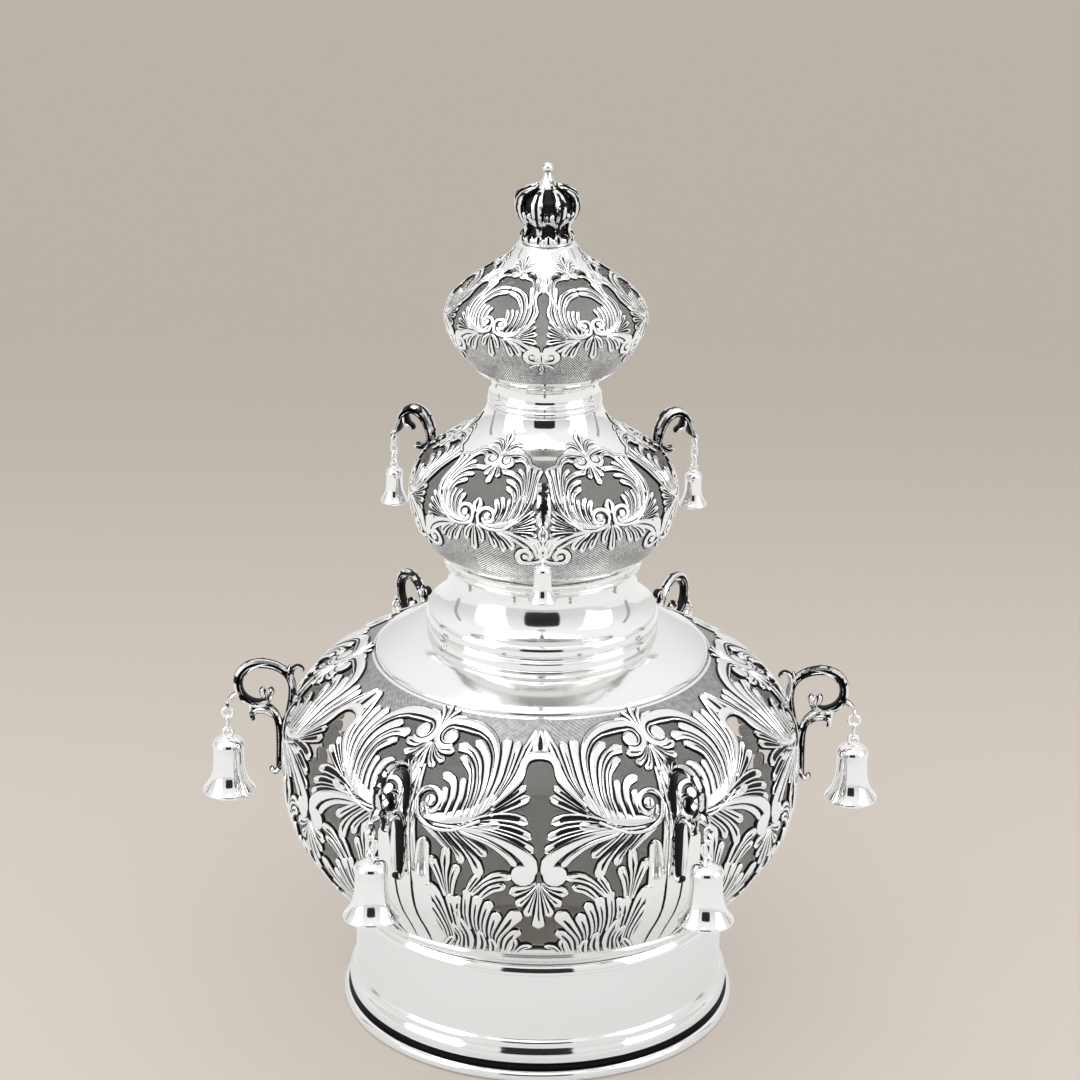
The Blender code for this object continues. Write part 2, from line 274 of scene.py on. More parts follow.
def round_axis(radius: np.ndarray, height: np.ndarray, bearing: np.ndarray) -> np.ndarray:
    """Places at a radius, a height and a bearing in radians."""
    return np.stack([radius * np.sin(bearing), -radius * np.cos(bearing), height], 1)


def turn(parts: Parts, profile: Sequence[Ring], segments: int, closed: bool = True,
         centre: Point = (0.0, 0.0)) -> None:
    """Add a turned solid.

    Args:
        parts: where it goes.
        profile: its rings, down the outside and up the inside.
        segments: facets round the axis.
        closed: join the last ring to the first; if not, both ends lie on the axis.
        centre: where its axis stands.
    """
    turns = np.arange(segments) * 2 * math.pi / segments
    places, marks, grounds, starts = [], [], [], []
    for ring in profile:
        starts.append(len(places))
        pole = ring.radius < POLE
        for angle in (turns[:1] if pole else turns):
            places.append((centre[0] + ring.radius * math.sin(angle),
                           centre[1] - ring.radius * math.cos(angle), ring.height))
            marks.append(ring.mark)
            grounds.append(ring.ground)
    faces = []
    count = len(profile)
    for i in range(count if closed else count - 1):
        k = (i + 1) % count
        top_pole, low_pole = profile[i].radius < POLE, profile[k].radius < POLE
        for j in range(segments):
            n = (j + 1) % segments
            a, b = starts[i] + (0 if top_pole else j), starts[k] + (0 if low_pole else j)
            c, d = starts[k] + (0 if low_pole else n), starts[i] + (0 if top_pole else n)
            if top_pole and low_pole:
                continue
            if top_pole:
                faces.append((a, b, c))
            elif low_pole:
                faces.append((a, b, d))
            else:
                faces.append((a, b, c, d))
    parts.add(np.array(places), faces, np.array(marks), np.array(grounds))


# Chased ornament: strokes of a chasing punch laid on a curved sheet.


class Cut(Enum):
    """How a stroke is worked across its width."""

    FINGER = "one smooth rounded leaf finger"
    VEINED = "a finger with a line down its middle"
    SLOT = "a finger with a broad blackened hollow down its middle"
    BAND = "a broad band with a line along its inner edge"
    PLAIN = "a flat polished band"
    DEEP = "blackened ground behind other strokes"


EDGE = 1.0  # width of the sunk margin along a stroke's edge
OUTLINE_SHADE = 0.8  # how dark the free edge of a stroke is painted: painted shadow of the sheet's edge
RIDGE_SHADE = 0.6  # how dark the edge of a bracket is painted, seen edge on: painted shade
FULLNESS = 1.3  # how far a stroke swells towards the ones beside it
FEWEST_ROWS = 4  # rows of a stroke before its tip
BEND = 0.4  # turn of a stroke, in radians, that calls for another row
TIP_ROWS = 3  # rows that round off a tip
BLUNT = 0.985  # how far round its tip a stroke goes before it is closed
OVERLAP = 0.04  # how far two strokes that meet run into each other
TOUCH = 0.35  # strokes meet when less room than this is left between their edges
SLIMMEST = 0.3  # half width below which a stroke isn't cut back
CROWN = 0.48  # least share of the half width that the raised part of a stroke takes
FADE = 0.06  # share of a stroke's length in which an engraved line fades
LINE_START, LINE_END, EDGE_END = 0.06, 0.86, 0.9  # where engraved lines start and end along a stroke, and where the painted shade along its edges ends
ROOT_RISE, GROWTH = 0.72, 0.28  # height at the root, and what it gains in a third of the length
FULL_WIDTH = 2.4  # a stroke this wide has its full height
HEIGHTS = (0.25, 1.1)  # lowest and highest a stroke's width can make it
UNDER_SHADE = 0.3  # how dark an underside and the foot of the side walls are painted, just short of black: painted shade under the ornament
KNOB = ((0.45, 0.95, 0), (0.72, 0.8, 0), (0.84, 0.4, 0.4), (1.0, -0.2, 1))  # out, up, mark; the dark marks round its foot are painted shade where the knob meets the sheet
KNOB_FACETS = 14
KNOB_RISE = 1.2  # height of a knob to that of a stroke
NEAR_MIRROR = 5  # a stroke that comes this near to a panel's middle grows beside its mirror image
CROSS = {  # three places between the margins, as shares of the raised part's half width
    Cut.FINGER: (-0.5, 0, 0.5),
    Cut.VEINED: (-0.42, 0, 0.42),
    Cut.SLOT: (-0.42, 0, 0.42),
    Cut.BAND: (-0.42, -0.28, 0.3),
    Cut.PLAIN: (-0.5, 0, 0.5),
    Cut.DEEP: (-0.5, 0, 0.5),
}
RISE = {  # height of seven places across, as shares of the stroke's height
    Cut.FINGER: (-0.2, 0.75, 0.96, 1, 0.96, 0.75, -0.2),
    Cut.VEINED: (-0.2, 0.76, 1, 0.5, 1, 0.76, -0.2),
    Cut.SLOT: (-0.2, 0.8, 0.1, 0, 0.1, 0.8, -0.2),
    Cut.BAND: (-0.2, 0.8, 0.3, 0.9, 1, 0.8, -0.2),
    Cut.PLAIN: (-0.2, 0.8, 0.97, 1, 0.97, 0.8, -0.2),
    Cut.DEEP: (-0.4, -0.2, 0, 0, 0, -0.2, -0.4),
}
ENGRAVED = {  # how engraved each of the seven is
    Cut.FINGER: (0, 0, 0, 0, 0, 0, 0),
    Cut.VEINED: (0, 0, 0.2, 1, 0.2, 0, 0),
    Cut.SLOT: (0, 0, 1, 1, 1, 0, 0),
    Cut.BAND: (0, 0.1, 1, 0.1, 0, 0, 0),
    Cut.PLAIN: (0, 0, 0, 0, 0, 0, 0),
    Cut.DEEP: (1, 1, 1, 1, 1, 1, 1),
}


@dataclass(frozen=True)
class Stroke:
    """One stroke of the ornament, drawn flat."""

    spine: Sequence[Point]
    widths: tuple[float, float, float]  # at most, at the root, the middle and the tip
    cut: Cut = Cut.FINGER
    lift: float = 0.0
    single: bool = False  # lies on a mirror line or across it, so it has no mirrored copy
    outlined: bool = False  # a full black line runs along both edges: painted shadow of the sheet's edge

    def rows(self, step: float) -> tuple[np.ndarray, np.ndarray, np.ndarray, np.ndarray]:
        """Places along the spine, closer where it bends, with a rounded tip.

        Args:
            step: distance between two rows where it runs straight.

        Returns:
            Places, sideways directions, widths, and how far along each row is, 0 to 1.
        """
        curve = smooth_curve(self.spine)
        along = lengths_along(curve)
        total = along[-1]
        tip = min(self.widths[2] / 2, total / 2)
        body = total - tip
        heading = np.unwrap(np.arctan2(*np.gradient(curve, axis=0).T[::-1]))
        turned = np.concatenate([[0], np.cumsum(np.abs(np.diff(heading)))])
        effort = along / step + turned / BEND
        last = np.interp(body, along, effort)
        count = max(FEWEST_ROWS, math.ceil(last))
        stops = np.interp(np.linspace(0, last, count + 1), effort, along)
        rounding = np.sin(np.arange(1, TIP_ROWS + 1) * math.pi / (2 * TIP_ROWS))
        stops = np.concatenate([stops, body + tip * rounding])
        places = np.stack([np.interp(stops, along, curve[:, k]) for k in (0, 1)], 1)
        course = np.interp(stops, along, heading)
        sideways = np.stack([-np.sin(course), np.cos(course)], 1)
        widths = np.interp(stops / total, [0, 0.5, 1], self.widths)
        past = np.clip((stops - body) / tip, 0, BLUNT)
        return places, sideways, widths * np.sqrt(1 - past ** 2), stops / total


def room(places: np.ndarray, sideways: np.ndarray, halves: np.ndarray,
         neighbours: Sequence[np.ndarray]) -> tuple[np.ndarray, np.ndarray]:
    """Keeps a stroke from growing over the strokes beside it.

    Args:
        places: places along the stroke.
        sideways: the sideways direction at each.
        halves: the half width wanted at each, the same on both sides.
        neighbours: the curves that run beside it.

    Returns:
        The half width on each side, and whether it meets a neighbour there, in two columns.
    """
    reach = np.stack([halves, halves], 1)
    meets = np.zeros_like(reach)
    for curve in neighbours:
        apart = curve[None, :, :] - places[:, None, :]
        gaps = np.hypot(apart[..., 0], apart[..., 1])
        nearest = gaps.argmin(1)
        rows = np.arange(len(places))
        gap = gaps[rows, nearest]
        side = ((apart[rows, nearest] * sideways).sum(1) > 0).astype(int)
        limit = gap / 2 + OVERLAP
        near = limit < reach[rows, side] + TOUCH
        cut_back = np.minimum(reach[rows, side], np.maximum(limit, SLIMMEST))
        reach[rows, side] = np.where(near, cut_back, reach[rows, side])
        meets[rows, side] = np.maximum(meets[rows, side], near)
    return reach, meets


def stroke_marks(stroke: Stroke, share: np.ndarray, meets: np.ndarray,
                 two_sided: bool) -> np.ndarray:
    """How dark the top of a stroke is marked: engraved lines, and painted shade along its edges.

    Args:
        stroke: the stroke.
        share: how far along it each row is, 0 to 1.
        meets: for each row, whether it meets a neighbour on either side.
        two_sided: its underside is worked too, so its edges are seen edge on.

    Returns:
        A value for each row, seven times across.
    """
    marks = np.tile(np.array(ENGRAVED[stroke.cut], float), (len(share), 1))
    if stroke.cut in (Cut.VEINED, Cut.SLOT):
        started = np.clip((share - LINE_START) / FADE, 0, 1)
        marks *= (started * np.clip((LINE_END - share) / FADE, 0, 1))[:, None]
    if stroke.cut is Cut.DEEP:
        return marks
    # painted shade along the edges: where the stroke meets a neighbour, along its outline, and on a
    # bracket's rim
    line = 1.0 if stroke.outlined else OUTLINE_SHADE
    if two_sided:
        marks[:, 1] = line
        marks[:, [0, -1]] = RIDGE_SHADE
    else:
        shown = np.clip((EDGE_END - share) / FADE, 0, 1)
        marks[:, [0, -1]] = np.maximum(meets * shown[:, None], line)
    return marks


def lay_stroke(parts: Parts, stroke: Stroke, surface: Surface, copies: Sequence[Copy], step: float,
               rise: float, depth: float, neighbours: Sequence[np.ndarray] = (),
               two_sided: bool = False, edge: float = EDGE) -> None:
    """Add a stroke as a closed solid, once for each copy.

    Args:
        parts: where it goes.
        stroke: the stroke.
        surface: turns across, along and lift into places.
        copies: how each copy is mirrored and shifted.
        step: distance between rows.
        rise: height of a full-width stroke above the sheet.
        depth: how far the underside lies below the sheet.
        neighbours: the curves that run beside it.
        two_sided: work the underside like the top.
        edge: width of the sunk margin along each edge.
    """
    places, sideways, widths, share = stroke.rows(step)
    reach, meets = room(places, sideways, widths / 2, neighbours)
    right, left = -reach[:, :1], reach[:, 1:]
    inner = np.maximum(reach - edge, reach * CROWN)
    cross = np.array(CROSS[stroke.cut])[None, :]
    middle = np.where(cross < 0, -cross * -inner[:, :1], cross * inner[:, 1:])
    across = np.concatenate([right, -inner[:, :1], middle, inner[:, 1:], left], 1)
    swell = np.array(RISE[stroke.cut])
    marks = stroke_marks(stroke, share, meets, two_sided)
    full = rise * (ROOT_RISE + GROWTH * np.minimum(share * 3, 1))
    full *= np.clip(widths / FULL_WIDTH, *HEIGHTS)
    top = places[:, None, :] + sideways[:, None, :] * across[:, :, None]
    lift = stroke.lift + full[:, None] * swell[None, :]
    if two_sided:
        under = top[:, ::-1][:, 1:-1]
        under_lift = -lift[:, ::-1][:, 1:-1]
        lift[:, 0] = lift[:, -1] = 0.0
        under_marks = marks[:, ::-1][:, 1:-1]
    else:
        under = top[:, [-1, 0]]
        under_lift = np.full((len(places), 2), stroke.lift - depth)
        # painted shade on the underside and the foot of the side walls
        under_marks = np.full((len(places), 2), UNDER_SHADE)
    flat = np.concatenate([top, under], 1)
    heights = np.concatenate([lift, under_lift], 1)
    marks = np.concatenate([marks, under_marks], 1)
    grounds = np.zeros_like(marks)
    if not two_sided:
        grounds[:, -2:] = INSIDE
    rows, columns = heights.shape
    faces: list[tuple[int, ...]] = grid_faces(rows, columns, closed_columns=True)
    faces.append(tuple(range(columns)))
    faces.append(tuple((rows - 1) * columns + j for j in reversed(range(columns))))
    for sign, shift in copies:
        x = sign * flat[..., 0].ravel() + shift
        spots = surface(x, flat[..., 1].ravel(), heights.ravel())
        parts.add(spots, faces, marks.ravel(), grounds.ravel(), flip=sign < 0)


@dataclass(frozen=True)
class Boss:
    """A round knob, such as the eye of a volute."""

    x: float
    y: float
    radius: float
    lift: float = 0.0
    single: bool = False


def lay_boss(parts: Parts, boss: Boss, surface: Surface, copies: Sequence[Copy], rise: float,
             depth: float) -> None:
    """Add a knob as a closed solid, once for each copy.

    Args:
        parts: where it goes.
        boss: the knob.
        surface: turns across, along and lift into places.
        copies: how each copy is mirrored and shifted.
        rise: height of the knob above the sheet.
        depth: how far the underside lies below the sheet.
    """
    count = KNOB_FACETS
    angles = np.arange(count) * 2 * math.pi / count
    x, y, lift, marks = [boss.x], [boss.y], [boss.lift + rise], [0.0]
    # the last ring, the underside, carries painted shade
    for out, up, mark in KNOB + ((1.0, -depth / rise, UNDER_SHADE),):
        x += list(boss.x + boss.radius * out * np.cos(angles))
        y += list(boss.y + boss.radius * out * np.sin(angles))
        lift += [boss.lift + rise * up] * count
        marks += [mark] * count
    faces: list[tuple[int, ...]] = [(0, 1 + j, 1 + (j + 1) % count) for j in range(count)]
    for ring in range(len(KNOB)):
        low, high = 1 + ring * count, 1 + (ring + 1) * count
        for j in range(count):
            n = (j + 1) % count
            faces.append((low + j, high + j, high + n, low + n))
    faces.append(tuple(reversed(range(len(x) - count, len(x)))))
    grounds = np.zeros(len(x))
    grounds[-count:] = INSIDE
    for sign, shift in copies:
        spots = surface(sign * np.array(x) + shift, np.array(y), np.array(lift))
        parts.add(spots, faces, np.array(marks), grounds, flip=sign < 0)


@dataclass(frozen=True)
class Sheet:
    """A turned sheet that ornament is chased into, with the drawing wrapped round it."""

    profile: Sequence[Point]  # radius and height, bottom to top
    drawing: Sequence[Point]  # height in the drawing, and length along the profile
    scale: float  # size of the ornament here to its size in the drawing
    brink: float  # height in the drawing of the profile's upper end
    steps: int = 16  # places computed for each stretch of the profile

    def place(self, x: np.ndarray, y: np.ndarray, lift: np.ndarray) -> np.ndarray:
        """Places on the sheet.

        Args:
            x: across in the drawing, from the middle of the front panel.
            y: height in the drawing.
            lift: distance outwards from the sheet, in the drawing's millimetres.

        Returns:
            Places in millimetres, three numbers each.
        """
        places = smooth_curve(self.profile, self.steps)
        known = list(self.drawing) + [(self.brink, lengths_along(places)[-1])]
        length = np.interp(y, *np.array(known).T)
        radius, height = off_profile(places, length, lift, self.scale)
        return round_axis(radius, height, np.radians(x * HALF_BEARING / HALF))


def level(height: float) -> list[Point]:
    """An outline of half a panel that stays at one height of the drawing."""
    return [(0, height), (HALF, height)]


def lay_skirt(parts: Parts, surface: Surface, low: Sequence[Point], high: Sequence[Point],
              lifts: Point, mark: float = 0.0, ground: float = POLISH, rows: int = 8,
              step: float = 2.2) -> None:
    """Add a sheet that runs right round between two outlines.

    Args:
        parts: where it goes.
        surface: turns across, along and lift into places.
        low: lower outline over half a panel, as across and height.
        high: upper outline over half a panel.
        lifts: lift of its outer and inner side.
        mark: how engraved it is.
        ground: how matte it is.
        rows: rows of faces between the outlines.
        step: width of a column in the drawing.
    """
    per_half = max(4, round(HALF / step))
    half = np.linspace(0, HALF, per_half + 1)
    fold = np.concatenate([half[:-1], half[::-1][:-1]])
    x = np.concatenate([np.linspace(0, 2 * HALF, 2 * per_half, endpoint=False) + 2 * HALF * k
                        for k in range(PANELS)])
    fold = np.tile(fold, PANELS)
    bottom = np.interp(fold, *np.array(low).T)
    top = np.interp(fold, *np.array(high).T)
    shares = np.linspace(1, 0, rows + 1)
    spots, matte, marks = [], [], []
    for side, order in ((0, shares), (1, shares[::-1])):
        for share in order:
            y = bottom + (top - bottom) * share
            spots.append(surface(x, y, np.full(len(x), lifts[side])))
            matte.append(np.full(len(x), ground if side == 0 else INSIDE))
            marks.append(np.full(len(x), mark if side == 0 else 0.0))
    count = 2 * (rows + 1)
    faces = grid_faces(count, len(x), closed_rows=True, closed_columns=True)
    parts.add(np.concatenate(spots), faces, np.concatenate(marks), np.concatenate(matte))


# The ornament's drawing: half of one panel, whose strokes grow side by side in each group.

F, V, S, B, P, D = Cut.FINGER, Cut.VEINED, Cut.SLOT, Cut.BAND, Cut.PLAIN, Cut.DEEP

LEAF_GROUND = (
    Stroke([(40, 75), (29, 86), (22, 98), (14, 110)], (12, 16, 16), D, -0.6),
    Stroke([(49, 75), (41, 80), (36, 88)], (9, 12, 6), D, -0.6),
    Stroke([(42, 72), (28, 72.4), (16, 72)], (5, 9, 9), D, -0.6),
)
GREAT_LEAF = (
    Stroke([(45, 78), (43.8, 83), (45, 88.6)], (2.2, 4.4, 4.4)),
    Stroke([(42, 76.5), (40.2, 85), (41.6, 91), (47.6, 94.4)], (2.2, 4.6, 4.4)),
    Stroke([(38.5, 76.5), (36.6, 85), (37, 93.8)], (2.2, 4.6, 5.8)),
    Stroke([(35, 76.5), (32.6, 86), (33.6, 97), (38.5, 102.8), (42, 103)], (2.2, 4.6, 4.6), V),
    Stroke([(32.4, 77), (29.4, 88), (30.8, 99), (36.5, 106.6), (45.5, 109.8)], (2.2, 4.2, 6), V),
    Stroke([(30, 77.5), (26.4, 90), (27, 103), (32, 110.6), (37, 113)], (2.2, 4.2, 5)),
    Stroke([(28, 79), (23.6, 92), (23.2, 105), (27.5, 114), (35, 118.8), (44, 120.8),
            (52, 120.6)] + curl(53, 113.6, 7, 6, 84, -215, 8), (2.2, 6.8, 3.8), B, 0.25),
    Stroke([(26, 80), (20.4, 93), (18.6, 106), (18.8, 117)], (2.4, 5.6, 7), F, 0, outlined=True),
    Stroke([(24, 81.5), (17.2, 93), (14.4, 104), (12.6, 115.6)], (2.4, 5.2, 7), V, 0,
           outlined=True),
    Stroke([(22, 83), (13.8, 95), (10.8, 102.6), (7.6, 111), (2.2, 121.8)], (2.4, 5.2, 3.4), V, 0,
           outlined=True),
)
GREAT_LEAF_SIDE = (
    Stroke([(-21, 83), (-14.4, 89.6), (-10.4, 94.4), (-9.2, 98.4), (-8.8, 102.2), (-7.2, 105.8),
            (-4, 107.8), (0, 108.4), (4, 107.8), (7.2, 105.8), (8.8, 102.2), (9.2, 98.4),
            (10.4, 94.4), (14.4, 89.6), (21, 83)], (2.6, 4.4, 2.6), F, 0.1, True),
    Stroke([(21.5, 81), (14, 87), (6.6, 93)], (2.2, 3.6, 3.6), S),
    Stroke([(22, 79), (14, 83.4), (4.6, 88)], (2.2, 3.8, 4.2), S),
    Stroke([(0, 107), (0, 114), (0, 122)], (7, 8, 2.4), V, -0.2, True),
)
LEAF_BODY = (
    Stroke([(54, 80), (50, 74.4), (42, 73.4), (33, 76), (25, 81.6), (20.5, 88)],
           (4, 8, 4), P, -0.25),
    Stroke([(47, 71.4), (36, 71.6), (26, 73.4), (17, 75.2)], (4, 5.4, 4), P, -0.3),
    Stroke([(26, 76), (36, 71.2), (46, 70), (53.6, 73)] + curl(50.4, 81.4, 6.6, 4.4, -28, 300, 10),
           (1.4, 2.4, 2.6), F, 0.35, outlined=True),
)
LOWER_LEAF_ABOVE = (
    Stroke([(31, 75), (22, 77.6), (12, 78.4), (5, 76.4)], (2, 4, 4), S),
    Stroke([(34, 73.6), (22, 74.4), (11, 72.8), (3.4, 69.8)], (2, 4, 4), S),
    Stroke([(36, 72.6), (22, 71.8), (10, 68.4), (2.4, 63.4)], (2, 4, 4), S, -0.1),
)
LOWER_LEAF = (
    Stroke([(38, 71.8), (24, 70), (12, 65), (4.6, 59), (2.6, 52)], (2, 5.4, 6.4), P, 0.2,
           outlined=True),
    Stroke([(34, 70.2), (22, 67), (14, 61.6), (9.8, 56.6)], (1.6, 2.8, 3), F, 0.25),
)
LOWER_LEAF_TIPS = (
    Stroke([(37, 71), (29, 65), (22.6, 60.4)], (2, 4, 4.4), V),
    Stroke([(41, 70.6), (33, 64), (28, 57.5), (25.4, 50)], (2, 5, 4.4), V),
    Stroke([(45, 70), (38.6, 64), (35, 59.6), (33.2, 55.4)], (2, 4, 3.8), V),
    Stroke([(52, 70.6), (45, 66.2), (39, 61)], (1.4, 3, 2.4)),
)
VOLUTE_SPRIGS = (
    Stroke([(59.4, 119), (55, 123.2), (48, 124.4)], (2, 3.2, 1.8), F, 0.2, outlined=True),
    Stroke([(60.4, 118), (58, 124), (54.4, 128)], (2, 3.6, 2), F, 0.25, outlined=True),
    Stroke([(HALF, 116), (HALF, 123), (HALF, 129.4)], (2, 4, 2), V, 0.3, True, True),
)
VOLUTE_PENDANTS = (
    Stroke([(60, 109), (54, 105), (46.4, 106.4)], (2.2, 4, 4.4), V, 0.1),
    Stroke([(60.4, 108), (54.6, 101.8), (49.4, 99.8)], (2.2, 4, 4.4), V, 0.1),
    Stroke([(60.8, 107.5), (57, 100), (53.6, 96)], (2.2, 4, 4.2), V, 0.15),
    Stroke([(HALF, 108), (HALF, 93)], (2.8, 5, 3.6), V, 0.25, True),
)
PENDENT_PALMETTE = (
    Stroke([(1, 48.6), (5, 45.4), (12.6, 43.4)], (1.8, 5, 5.4), V, 0.1),
    Stroke([(0.8, 47.5), (4.8, 41.6), (9.6, 36.8)], (1.8, 4.6, 5), V, 0.15),
    Stroke([(0.6, 47), (3.2, 38), (5, 31)], (1.8, 4, 4.6), V, 0.2),
    Stroke([(0, 49), (0, 36), (0, 23.2)], (1.8, 4.6, 6), V, 0.3, True),
)
NEAR_PLANT = (
    Stroke([(17.6, 0), (14.5, 11), (8.8, 20.4)], (4, 5, 5), V),
    Stroke([(21, 0), (20, 12), (14.5, 24), (8.4, 33.8)], (4, 7, 6.4), V, 0.1),
    Stroke([(23, 2), (22.8, 14), (20.6, 24), (18, 32)], (3.4, 5, 5), V),
    Stroke([(26, 4), (26, 20), (24.2, 30), (20.8, 38)], (3.4, 5, 4.6), V, 0.05),
    Stroke([(29, 6), (29, 24), (27.8, 33), (26.2, 40.4)], (3.4, 5, 5), V),
    Stroke([(32, 8), (32.8, 28), (31.4, 43)], (3.4, 5, 5), V, 0.05),
    Stroke([(35, 10), (36.2, 29), (35, 39)], (3.4, 4.4, 4.6), V),
)
NEAR_PLANT_HEAD = (
    Stroke([(26, 38.6), (20.5, 44.6), (14.2, 46.6)], (2.4, 4, 4.4), V, 0.05),
    Stroke([(29.5, 40.6), (24, 47.2), (17.5, 50.8), (11.6, 50.8)], (2.4, 4.4, 4.6), V, 0.1),
    Stroke([(31, 42), (28, 47), (25.6, 51)], (2.4, 4, 3.6), V),
)
FAR_PLANT = (
    Stroke([(39.4, 6), (38.6, 22), (38.8, 39.4)], (3.4, 5, 5), V),
    Stroke([(43, 5), (41.8, 20), (43.4, 32), (47, 39.6), (50, 42.6)], (3.4, 5, 5), V, 0.1),
    Stroke([(46.6, 4), (45, 16), (46.4, 26), (50, 33.4)], (3.4, 4.6, 4.6), V),
)
FAR_PLANT_HEAD = (
    Stroke([(38.8, 38), (38.2, 47), (35.2, 54.6)], (2.4, 4.2, 4.2), V),
    Stroke([(39.8, 37), (41, 50), (40.4, 62.6)], (2.6, 4.8, 3.6), V, 0.1),
    Stroke([(41, 38), (43.4, 48), (48, 56.8)], (2.4, 4.4, 4), V),
)
LOW_TUFT = (
    Stroke([(12, -1), (8, 5), (3, 6.4)], (3, 4, 3.4), V),
    Stroke([(14.6, -1), (12, 6.6), (12, 13)], (3, 4, 3.4), V, 0.1),
    Stroke([(23.6, -1), (22.4, 5), (23, 12)], (4, 4.6, 3), V, 0.45),
    Stroke([(30, -1), (27.2, 8), (27.6, 18)], (4.6, 5.6, 3), V, 0.5),
    Stroke([(36.4, -1), (34.4, 14), (36, 27)], (6, 6.6, 3), V, 0.45),
    Stroke([(41.6, -1), (38.2, 11), (40, 21)], (4.6, 5.2, 3), V, 0.4),
    Stroke([(49, -1), (45, 5), (41.8, 9)], (3.4, 4, 3), V, 0.4),
)
PILASTER_BACK = (Stroke([(55, 40), (56.6, 60), (57.6, 80), (58.8, 97)], (5, 4, 2), P, -0.15),)
PILASTER = (
    Stroke([(52.4, -1), (53.4, 22), (52.8, 44), (51, 65)], (9, 9.4, 5), P, 0, outlined=True),
    Stroke([(HALF, -1), (HALF, 45), (HALF, 95)], (11, 7.4, 4), P, 0.15, True, True),
)
